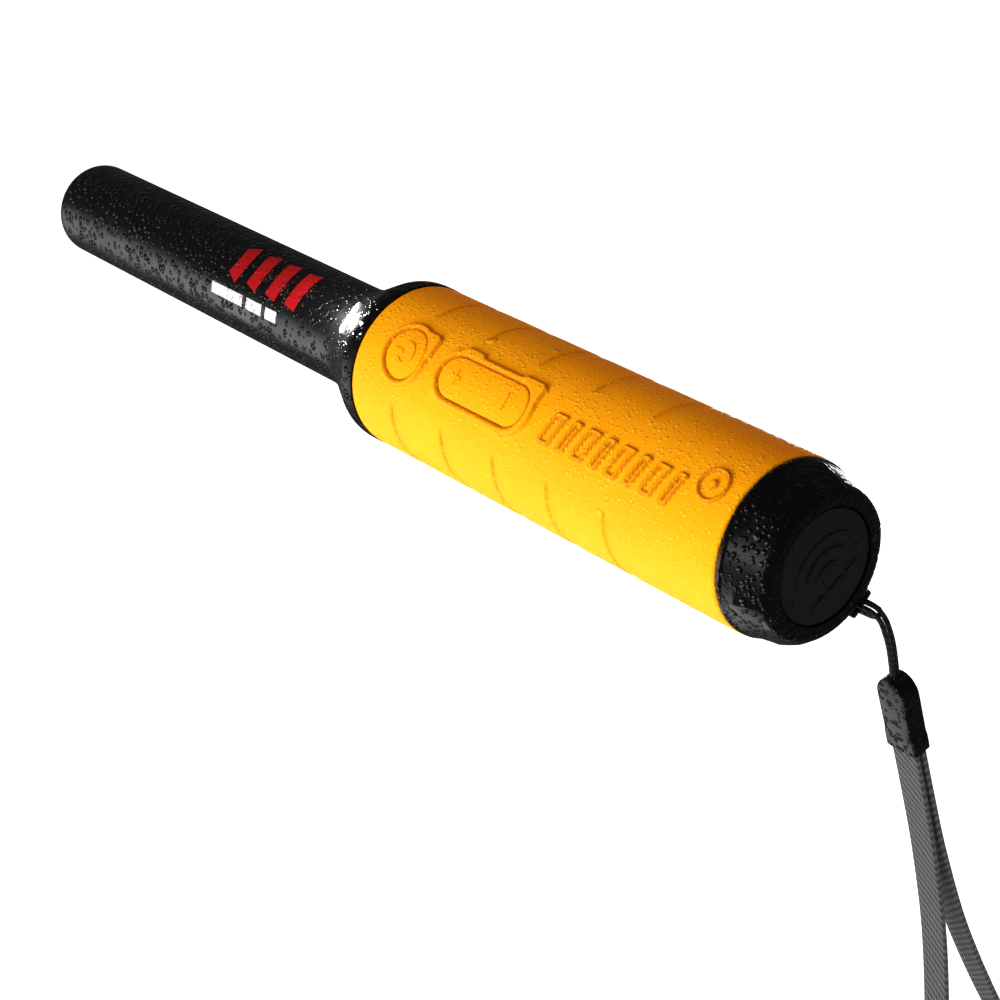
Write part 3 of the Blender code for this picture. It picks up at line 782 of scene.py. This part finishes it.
def paint_crease_shade(item):
    """Stores how deep each outer point lies in a crease, as painted shade for the material to
    darken.
    """
    far, turn, radius = unrolled(points_of(item), KEY_TURN)
    side = turn * GRIP_RADIUS
    beside = np.exp(-((to_opening(far, side) / 0.55) ** 2))
    slope, edge = steepness(raised_badge, far, side), steepness(key_frames, far, side)
    groove = np.clip(grip_lines(far, turn) / 0.5, 0.0, 1.0) ** 1.5
    depth = np.clip(np.maximum.reduce([beside * 0.9, slope * 1.6, edge * 0.7, groove]), 0.0, 1.0)
    depth *= radius > 16.9
    layer = item.data.attributes.new("crease_shade", "FLOAT", "POINT")
    layer.data.foreach_set("value", depth.astype(np.float32))
    return item


def push_relief(item):
    """Pushes the outer surface out and in by the relief."""
    points = points_of(item)
    far, turn, radius = unrolled(points, KEY_TURN)
    outer = radius > 17.02
    high = radius + np.where(outer, grip_height(far, turn, radius), 0.0)
    points[:, 1:] *= (high / radius)[:, None]
    set_points(item, points)
    return item


def make_grip():
    stops = spaced(242.3, 190.0, 0.36) + spaced(190.0, 141.0, 0.3)[1:]
    stops += spaced(141.0, 135.9, 0.6)[1:]
    outline = [(242.75, 16.8), (242.6, 17.05), *[(far, grip_radius(far)) for far in stops]]
    outline += [(135.5, 17.4), (135.3, 17.1), (135.3, 16.6), (242.75, 16.6)]
    start = math.degrees(KEY_TURN) - 40.0
    grip = push_relief(spun("grip_skin", outline, ((start, 80.0, 88), (start + 80.0, 280.0, 90))))
    cut(grip, upright("power_opening", stadium(POWER_AT, 5.4, 5.4, 24), 12.0, 22.0))
    cut(grip, upright("level_opening", stadium(LEVEL_AT, 13.0, 4.4, 20), 12.0, 22.0))
    smooth(paint_crease_shade(grip), 50)
    grip.data.materials.append(ELASTOMER)
    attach(grip, "probe")
    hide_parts("grip_sleeve")
    return grip


GRIP = make_grip()
print("grip:", len(GRIP.data.polygons), "faces")

# %% [markdown]
# The two keys are rubber pads that follow the grip's curve, each with posts that reach the
# switches under them. A pad is drawn flat, its edge is bevelled, it is cut into strips and
# wrapped, and its raised sign is wrapped on top: a power sign, and a plus and a minus.

# %% Keys
def make_pad(name, outline, posts):
    pad = soften(slab(name, outline, 0.0, 0.95), 0.6, 4, 50)
    pad = wrapped(sliced(pad, 0.45), 16.95)
    for index, far in enumerate(posts):
        post = upright(f"{name}_post_{index}", stadium(far, 1.6, 1.6, 10), 12.75, 17.25)
        cut(pad, post, "UNION")
    return pad


def bar_outline(far, side, half_long, half_wide):
    return [
        (far - half_long, side - half_wide), (far + half_long, side - half_wide),
        (far + half_long, side + half_wide), (far - half_long, side + half_wide),
    ]


def make_key(name, node_name, outline, posts, signs):
    pad = make_pad(f"{name}_pad", outline, posts)
    sign = drawn_round(f"{name}_sign", signs, -0.2, 0.28, 0.5, 17.88)
    key = smooth(join([pad, sign], name), 40)
    key.data.materials.append(ELASTOMER)
    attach(key, node_name)
    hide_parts(node_name)
    return key


POWER_SIGN = [arc_outline(149.6, 0.0, 1.85, 2.55, -138, 138), bar_outline(147.4, 0.0, 1.4, 0.35)]
PLUS_AND_MINUS = [
    bar_outline(165.9, 0.0, 1.5, 0.36), bar_outline(165.9, -0.93, 0.36, 0.57),
    bar_outline(165.9, 0.93, 0.36, 0.57), bar_outline(181.2, 0.0, 0.38, 1.7),
]
POWER_PAD = stadium(POWER_AT, 5.3, 5.3, 24)
LEVEL_PAD = stadium(LEVEL_AT, 12.9, 4.3, 16)
POWER_KEY = make_key("power_key_skin", "power_key", POWER_PAD, (POWER_AT,), POWER_SIGN)
LEVEL_KEY = make_key("level_key_skin", "level_key", LEVEL_PAD, LEVEL_POSTS, PLUS_AND_MINUS)
print("keys:", len(POWER_KEY.data.polygons), "and", len(LEVEL_KEY.data.polygons), "faces")

# %% [markdown]
# The cap is gripped by six flats, milled at a slant round its knob, which leave a sharp ridge
# between each two. It is spun round first, and then each point of the knob is drawn in by how far
# round it lies from a ridge. The hollow plug with its groove is left as it was spun. The strap's
# lug stands on the ridge opposite the keys, and a slot through it holds the cord.

# %% Battery cap
def flat_middle(far):
    """The knob's radius at the middle of a flat."""
    stations = [243.9, 244.3, 250.8, 251.8, 252.5, 253.0]
    return np.interp(far, stations, [17.05, 16.75, 14.85, 14.65, 14.25, 13.3])


def ridge_crest(far):
    stations = [243.9, 247.0, 249.2, 250.8, 251.8, 252.5, 253.0]
    return np.interp(far, stations, [17.05, 17.0, 16.2, 15.5, 15.0, 14.4, 13.4])


def mill_flats(item):
    points = points_of(item)
    far, turn, radius = unrolled(points, CAP_TURN)
    from_middle = np.abs(np.degrees(turn) % 60.0 - 30.0)
    low, high = flat_middle(far), ridge_crest(far)
    corner = 1.0 / math.cos(math.radians(30.0)) - 1.0
    share = (1.0 / np.cos(np.radians(from_middle)) - 1.0) / corner
    milled = low + (high - low) * share**1.25
    knob = (radius > 13.0) & (far > 243.8)
    points[:, 1:] *= (np.where(knob, milled, radius) / radius)[:, None]
    set_points(item, points)
    return item


def lug_block(name, far, half_far, half_across, low, high):
    """A block on the lug's side of the cap, between two radii."""
    outline = bar_outline(far, 0.0, half_far, half_across)
    return upright(name, outline, low, high, CAP_TURN + math.pi)


def make_cap():
    knob = [(far, 15.0) for far in spaced(252.98, 243.9, 0.3)]
    outline = [(251.9, 0.05), (251.9, 11.3), (252.9, 11.3), (253.0, 11.4), (253.0, 12.6), *knob]
    outline += [(243.7, 17.05), (243.15, 17.05), (243.05, 16.95), (243.05, 14.7), (242.4, 14.7)]
    outline += [(242.4, 14.2), (240.8, 14.2), (240.8, 14.7), (234.6, 14.7), (234.6, 13.0)]
    outline += [(241.0, 13.0), (241.0, 0.05)]
    cap = mill_flats(spun("cap_skin", outline, ((0.0, 360.0, 240),)))
    lug = soften(lug_block("lug", LUG_AT, 1.1, 2.9, 12.0, 17.95), 0.45, 3)
    cut(cap, lug, "UNION")
    cut(cap, lug_block("lug_slot", LUG_AT, 4.0, 1.9, 15.1, 16.85))
    smooth(cap, 28)
    cap.data.materials.append(ABS_POLISHED)
    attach(cap, "battery_cap")
    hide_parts("battery_cap")
    return cap


CAP = make_cap()
print("cap:", len(CAP.data.polygons), "faces")

# %% [markdown]
# A round panel closes the cap's end. It carries the same generic mark as the tube, raised: arcs
# that spread like waves, over a broken line. The arcs are drawn flat and turned to face along X.

# %% End panel
def facing_out(item, far):
    """Turns a flat drawing to face along X at a distance, with its Y across and its X up."""
    flat = points_of(item)
    across, up, out = flat[:, 1], flat[:, 0] - reach(0.0), flat[:, 2]
    turn = math.radians(14.0)
    y = across * math.cos(turn) - up * math.sin(turn)
    z = across * math.sin(turn) + up * math.cos(turn)
    set_points(item, np.stack([reach(far) + out, y, z], axis=1))
    return outward(item)


def make_panel():
    edge = bend((252.45, 11.0), (252.72, 11.0), (252.75, 10.7), 4)
    disc = [(252.2, 0.05), (252.2, 11.0), *edge, (252.75, 0.05)]
    panel = spun("panel_disc", disc, ((0.0, 360.0, 96),))
    drawn = [arc_outline(-3.2, 0.0, r - 0.8, r + 0.8, -52, 52) for r in (2.6, 5.4, 8.2)]
    for side, half in ((-4.4, 1.9), (0.3, 2.0), (4.6, 1.6)):
        drawn.append(bar_outline(-5.6, side, 0.9, half))
    signs = [facing_out(slab("panel_sign", outline, -0.1, 0.25), 252.75) for outline in drawn]
    panel = join([panel, *[soften(sign, 0.12, 2) for sign in signs]], "panel_skin")
    smooth(panel, 30)
    panel.data.materials.append(ABS_BADGE)
    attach(panel, "battery_cap")
    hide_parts("cap_badge")
    return panel


PANEL = make_panel()
print("end panel:", len(PANEL.data.polygons), "faces")

# %% [markdown]
# The strap starts as a thin braided cord, doubled and hitched through the lug: both ends pass
# through the slot and back through their own loop. It is one open curve, from the fitting up
# through the hitch and down to the fitting again, with a round bevel of the cord's own radius.

# %% Strap cord
LUG_TURN = CAP_TURN + math.pi
EYE = around(LUG_AT, 17.4, LUG_TURN)
OUTWARD = Vector((0.0, -math.sin(LUG_TURN), math.cos(LUG_TURN)))
ALONG_BAR = Vector((0.0, -math.cos(LUG_TURN), -math.sin(LUG_TURN)))
FITTING_TOP = EYE + Vector((6.0, 0.0, -14.7)) * MM


def by_lug(x, across, out):
    """A point by the lug's bar: along the probe, along the bar, and out from the probe's axis."""
    return EYE + Vector((x * MM, 0.0, 0.0)) + ALONG_BAR * across * MM + OUTWARD * out * MM


def smooth_route(points, spacing):
    """Points about one spacing apart on a Catmull-Rom curve through the route."""
    ends = [points[0] * 2 - points[1], *points, points[-1] * 2 - points[-2]]
    made = []
    for a, b, c, d in zip(ends, ends[1:], ends[2:], ends[3:]):
        count = max(1, round((c - b).length / spacing))
        for i in range(count):
            u = i / count
            cubic = (3 * b - a - 3 * c + d) * u**3
            made.append(0.5 * (2 * b + (c - a) * u + (2 * a - 5 * b + 4 * c - d) * u**2 + cubic))
    return made + [points[-1]]


def cord_route():
    legs = [(6.0, 0.62, -14.25), (6.2, 0.62, -12.0), (6.45, 0.62, -9.0), (6.5, 0.62, -6.0)]
    legs += [(6.2, 0.62, -3.4), (5.6, 0.6, -1.2)]
    first = [EYE + Vector(point) * MM for point in legs]
    hitch = [(4.3, 0.6, -0.8), (2.2, 0.62, -1.25), (0.0, 0.66, -1.35), (-1.6, 0.75, -1.2)]
    hitch += [(-2.15, 0.8, 0.1), (-1.6, 0.88, 1.3), (0.2, 0.92, 1.4), (2.4, 0.92, 1.1)]
    hitch += [(4.0, 0.8, 0.8), (4.7, 0.35, 0.75)]
    second = [Vector((p.x, 2 * EYE.y - p.y, p.z)) for p in first]
    first += [by_lug(*point) for point in hitch]
    second += [by_lug(x, -across, out) for x, across, out in hitch]
    return first + list(reversed(second))


def length_of(route):
    return sum((b - a).length for a, b in zip(route, route[1:]))


def braided_nylon():
    """Matt black, with the light caught by the strands' slanted crowns, 2.4 mm apart."""
    made, tree, shader, where = finish_of(
        "braided_nylon_black", "0c0c0e", 0.7, Sheen_Weight=0.05
    )
    strands = node(
        tree, "ShaderNodeTexWave", {"bands_direction": "DIAGONAL"}, Vector=where, Scale=420.0
    )
    crowns = strands.outputs[1]
    fuzz = node(tree, "ShaderNodeTexNoise", Vector=where, Scale=1000 / 0.35, Detail=2.0)
    soft = node(tree, "ShaderNodeMath", MULTIPLY, i0=fuzz.outputs[0], i1=2 / 3).outputs[0]
    both = node(tree, "ShaderNodeMath", {"operation": "ADD"}, i0=crowns, i1=soft).outputs[0]
    relief(tree, shader, both, 0.12)
    two_tone(tree, shader, crowns, "060607", "141417")
    return made


def make_cord():
    route = smooth_route(cord_route(), 0.6 * MM)
    data = bpy.data.curves.new("cord_skin", "CURVE")
    data.dimensions = "3D"
    data.bevel_depth = 0.5 * MM
    data.bevel_resolution = 4
    data.use_fill_caps = True
    spline = data.splines.new("POLY")
    spline.points.add(len(route) - 1)
    for knot, point in zip(spline.points, route):
        knot.co = (*point, 1.0)
    spline.use_smooth = True
    cord = placed("cord_skin", data)
    data.materials.append(braided_nylon())
    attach(cord, "strap_cord")
    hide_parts("strap_cord")
    return cord, length_of(route)


CORD, CORD_LENGTH = make_cord()
print("cord, mm:", round(CORD_LENGTH * 1000, 1))

# %% [markdown]
# The fitting is a small moulded block that clamps the cord above and the webbing below. It is a
# flat outline with a round top, drawn up to its width, and all its edges are well rounded.

# %% Strap fitting
def make_fitting():
    outline = [(-3.3, -18.0), (3.3, -18.0), (3.75, -17.4), (3.72, -14.5), (3.5, -13.2)]
    outline.append((3.55, -4.6))
    for i in range(1, 16):
        turn = math.radians(180 * i / 16)
        outline.append((3.55 * math.cos(turn), -4.2 + 4.2 * math.sin(turn)))
    outline += [(-3.55, -4.6), (-3.5, -13.2), (-3.72, -14.5), (-3.75, -17.4)]
    block = slab("fitting_skin", [(x + GRIP_MIDDLE, y) for x, y in outline], -2.1, 2.1)
    flat = points_of(block)
    turned = np.stack([flat[:, 0], -flat[:, 2], flat[:, 1]], axis=1) + np.array(FITTING_TOP)
    set_points(block, turned)
    block = smooth(soften(outward(block), 0.55, 4, 40), 30)
    block.data.materials.append(ABS_FITTING)
    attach(block, "wrist_strap")
    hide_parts("strap_fitting")
    return block


FITTING = make_fitting()
print("fitting:", len(FITTING.data.polygons), "faces")

# %% [markdown]
# The wrist loop is woven nylon webbing, 6 mm wide, which leaves the fitting and comes back to it.
# It is a fine grid, bent along the loop's route, and Solidify gives it its thickness. The grid's
# own UV map runs along the webbing, so the weave follows it round the loop.

# %% Wrist webbing
WEB_TOP = FITTING_TOP + Vector((0.0, 0.0, -18.3 * MM))
WEB_WIDTH = 6.0
WEB_THICK = 1.1


def web_route():
    half = [(0.9, 0.0), (0.95, -12.0), (1.3, -28.0), (3.0, -50.0), (7.2, -75.0), (12.4, -98.0)]
    half += [(16.2, -116.0), (15.4, -130.0), (10.2, -139.5), (0.0, -143.0)]
    other = [(-across, down) for across, down in reversed(half[:-1])]
    return [WEB_TOP + Vector((0.0, across, down)) * MM for across, down in half + other]


def woven_nylon(length):
    """A dull charcoal twill whose slanted ribs catch the light in fine lines."""
    made, tree, shader, _ = finish_of("woven_nylon_black", "131417", 0.75, Sheen_Weight=0.1)
    along = node(tree, "ShaderNodeUVMap", {"uv_map": "UVMap"}).outputs[0]
    picks = node(
        tree, "ShaderNodeMapping", Vector=along, Scale=(WEB_WIDTH, length / MM, 1.0)
    ).outputs[0]
    slanted, straight = {"bands_direction": "DIAGONAL"}, {"bands_direction": "X"}
    twill = node(tree, "ShaderNodeTexWave", slanted, Vector=picks, Scale=0.32).outputs[1]
    ends = node(tree, "ShaderNodeTexWave", straight, Vector=picks, Scale=0.42).outputs[1]
    both = node(tree, "ShaderNodeMath", {"operation": "ADD"}, i0=twill, i1=ends).outputs[0]
    relief(tree, shader, both, 0.11)
    ribs = node(tree, "ShaderNodeMapRange", Value=twill, i1=0.1, i2=0.9).outputs[0]
    two_tone(tree, shader, ribs, "242628", "4b4d51")
    return made


def make_webbing():
    route = smooth_route(web_route(), 2.0 * MM)
    length = length_of(route)
    deselect_all()
    steps = len(route) - 1
    bpy.ops.mesh.primitive_grid_add(x_subdivisions=6, y_subdivisions=steps, size=1.0)
    webbing = named(bpy.context.view_layer.objects.active, "webbing_skin")
    flat = points_of(webbing)
    index = np.round((flat[:, 1] + 0.5) * steps).astype(int)
    placed = np.array([tuple(point) for point in route])[index]
    placed[:, 0] += flat[:, 0] * WEB_WIDTH * MM
    set_points(webbing, placed)
    solidify = webbing.modifiers.new("thickness", "SOLIDIFY")
    solidify.thickness = WEB_THICK * MM
    solidify.offset = 0.0
    apply_all(webbing)
    smooth(soften(webbing, 0.25, 2, 60), 40)
    webbing.data.materials.append(woven_nylon(length))
    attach(webbing, "wrist_strap")
    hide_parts("wrist_webbing")
    return webbing, route, length


WEBBING, WEB_PATH, WEB_LENGTH = make_webbing()
print("webbing, mm:", round(WEB_LENGTH * 1000, 1))

# %% [markdown]
# The pieces inside keep their CAD forms, which are right for them, and get the finishes of the
# real ones. They show when the cap is off and in a cut-away view. Most are plain: a fine grain, a
# little wear, and a second colour where the surface varies.

# %% Plain finishes inside
def plain(name, colour, roughness, metallic=0.0, size_mm=0.6, depth_mm=0.01, other=None, **values):
    """A finish with a fine bump, and a second colour where the surface varies."""
    made, tree, shader, where = finish_of(name, colour, roughness, metallic, **values)
    fine_skin(tree, shader, where, size_mm, depth_mm, 3.0)
    worn = drifting(tree, where, size_mm, 3.0, 0.3, 0.7, roughness - 0.05, roughness + 0.08)
    tree.links.new(worn, shader.inputs["Roughness"])
    if other:
        broad = drifting(tree, where, size_mm * 12, 3.0, 0.3, 0.7)
        two_tone(tree, shader, broad, colour, other)
    return made


# Dark grey ceramic, dull and a little uneven.
FERRITE = plain("sintered_ferrite", "3a3b3f", 0.6, size_mm=0.5, other="2c2d31")
# Milky plastic with a soft shine.
NYLON = plain("natural_nylon", "e8e6df", 0.42, size_mm=0.4, other="dedbd0", IOR=1.53)
# Bright, cool and almost even.
STEEL = plain("plated_steel", "c9ccd0", 0.24, 1.0, size_mm=0.5, depth_mm=0.004, other="b7bbc0")
# Dull black rubber.
NITRILE = plain("moulded_nitrile", "26282b", 0.65, size_mm=0.3, other="1f2123")
# The dull black block of a chip.
EPOXY = plain("moulded_epoxy", "1b1c1e", 0.5, size_mm=0.25)
# Dark blue lacquer on a rolled steel can, smooth and glossy.
JACKET = plain(
    "lacquered_steel_jacket", "2c3e66", 0.28, size_mm=2.0, depth_mm=0.004, other="26365a"
)
# Grey metal with a soft, broad shine.
ANODISED = plain("anodised_can", "8d949c", 0.3, 1.0, size_mm=0.8, depth_mm=0.004)
print("plain finishes:", [m.name for m in (FERRITE, NYLON, STEEL, NITRILE, EPOXY, JACKET)])

# %% [markdown]
# Three finishes inside have a pattern of their own: the coils' close turns of wire, the board's
# mask over its copper, and the cut cells of the foam pads.

# %% Patterned finishes inside
def wound_copper():
    """Close turns of enamelled wire, which shine in fine rings."""
    made, tree, shader, where = finish_of("enamelled_copper_winding", "b5632c", 0.3, 1.0)
    rings = {"bands_direction": "X"}
    turns = node(tree, "ShaderNodeTexWave", rings, Vector=where, Scale=850.0).outputs[1]
    relief(tree, shader, turns, 0.08)
    two_tone(tree, shader, turns, "7a3a18", "c8773a")
    return made


def masked_board():
    """Green solder mask, lighter and a little raised over the copper."""
    made, tree, shader, where = finish_of("solder_masked_board", "1c5a36", 0.35)
    greens = {"Color1": "1a5733", "Color2": "1e6039", "Mortar": "2f7d4c"}
    tints = {key: (*linear(code), 1.0) for key, code in greens.items()}
    tracks = node(tree, "ShaderNodeTexBrick", Vector=where, Scale=260.0, **tints).outputs
    tree.links.new(tracks[0], shader.inputs["Base Color"])
    relief(tree, shader, tracks[1], 0.03)
    return made


def cell_foam():
    """Matt grey foam with its cut cells showing, 0.7 mm across."""
    made, tree, shader, where = finish_of("closed_cell_foam", "4b4d52", 0.95)
    cells = node(tree, "ShaderNodeTexVoronoi", Vector=where, Scale=1400.0).outputs[0]
    relief(tree, shader, cells, 0.2)
    two_tone(tree, shader, cells, "383a3e", "5c5f65")
    return made


COPPER = wound_copper()
MASKED = masked_board()
FOAM = cell_foam()
print("patterned finishes:", [m.name for m in (COPPER, MASKED, FOAM)])

# %% [markdown]
# Each finish is given to the pieces that have it on the real probe.

# %% Finishing the inside
INSIDE = {
    FERRITE: ("ferrite_core",),
    NYLON: (
        "coil_bobbin", "core_spacer", "chassis", "lead_connector", "motor_clip", "battery_plate",
        "tube_lock_ring", "lamp_led",
    ),
    STEEL: (
        "power_switch", "plus_switch", "minus_switch", "board_screw_front", "board_screw_rear",
        "sounder_disc", "motor_shaft", "vibration_weight", "snap_contact_plus",
        "snap_contact_minus", "motor_can",
    ),
    NITRILE: ("tube_gasket", "cap_o_ring", "coil_leads"),
    EPOXY: ("microcontroller", "driver_chip", "sounder"),
    JACKET: ("battery",),
    ANODISED: ("tank_capacitor",),
    COPPER: ("receive_coil_front", "transmit_coil", "receive_coil_rear"),
    MASKED: ("main_board",),
    FOAM: ("tip_pad", "battery_pad"),
}


def finish_inside():
    done = 0
    for material, names in INSIDE.items():
        for name in names:
            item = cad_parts[name]
            item.data.materials.clear()
            item.data.materials.append(material)
            done += 1
    return done


print("finished inside:", finish_inside(), "pieces")

# %% [markdown]
# The studio is a white sweep well below the hanging strap, which glows a little, as a lit one
# does, and a dim room, so that the black pieces stay black.

# %% Floor and room
def add_floor():
    deselect_all()
    bpy.ops.mesh.primitive_plane_add(size=8.0, location=(0.0, 0.0, -0.32))
    floor = named(bpy.context.view_layer.objects.active, "studio_floor")
    settle(floor)
    made, tree, shader, where = finish_of("matt_white_sweep", "f6f6f6", 0.9)
    fine_skin(tree, shader, where, 3.0, 0.1, 3.0)
    shader.inputs["Emission Color"].default_value = (1.0, 1.0, 1.0, 1.0)
    shader.inputs["Emission Strength"].default_value = 1.05
    floor.data.materials.append(made)
    floor.visible_glossy = False
    print("floor at", round(floor.data.vertices[0].co.z, 3))


def add_room(strength):
    world = bpy.data.worlds.new("studio_room")
    bpy.context.scene.world = world
    world.use_nodes = True
    back = world.node_tree.nodes["Background"]
    back.inputs["Color"].default_value = (1.0, 1.0, 1.0, 1.0)
    back.inputs["Strength"].default_value = strength


bpy.context.scene.view_settings.view_transform = "Standard"
add_floor()
add_room(0.06)

# %% [markdown]
# A low key light draws a band along the tube, a fill lights the grip's near side, and a warm light
# its top. Three small cards are seen only in reflections: they lay a sheen on the cap's wet flats
# and on the strap's fitting, and brighten the cap's far edge. The lamp washes the wet tube.

# %% Lights
REFLECTED_ONLY = ("diffuse", "camera")


def add_light(name, place, target, width, height, watts, colour="ffffff", hidden=()):
    """A soft box. Hidden names the kinds of ray that don't see it."""
    data = bpy.data.lights.new(name, "AREA")
    data.shape = "RECTANGLE"
    data.size = width
    data.size_y = height
    data.energy = watts
    data.color = linear(colour)
    light = placed(name, data)
    light.location = place
    aim = Vector(target) - Vector(place)
    light.rotation_euler = aim.to_track_quat("-Z", "Y").to_euler()
    for kind in hidden:
        setattr(light, f"visible_{kind}", False)


def add_lamp_glow():
    data = bpy.data.lights.new("lamp_glow", "POINT")
    data.energy = 0.03
    data.shadow_soft_size = 0.002
    placed("lamp_glow", data).location = around(118.5, 16.2, LAMP_TURN)


add_light("key_light", (-0.62, -0.66, -0.12), (0.0, 0.0, 0.0), 0.8, 0.5, 3.0)
add_light(
    "fill_light", (0.05, -0.88, 0.34), (0.02, 0.0, 0.0), 0.6, 0.6, 12.5, hidden=("glossy",)
)
add_light(
    "warm_light", (0.0, 0.35, 0.8), (0.03, 0.0, 0.0), 0.5, 0.5, 2.6, "ffbe50", ("glossy",)
)
for card, place, target, width, height, watts in (
    ("sheen_card", (-0.05, -0.75, 0.3), (0.06, 0.0, 0.0), 0.3, 0.2, 0.6),
    ("strap_card", (-0.1, -0.13, -0.26), (0.067, 0.008, -0.045), 0.14, 0.14, 0.1),
    ("edge_card", (-0.14, 0.19, -0.2), (0.06, 0.01, 0.01), 0.13, 0.13, 0.2),
):
    add_light(card, place, target, width, height, watts, hidden=REFLECTED_ONLY)
add_lamp_glow()
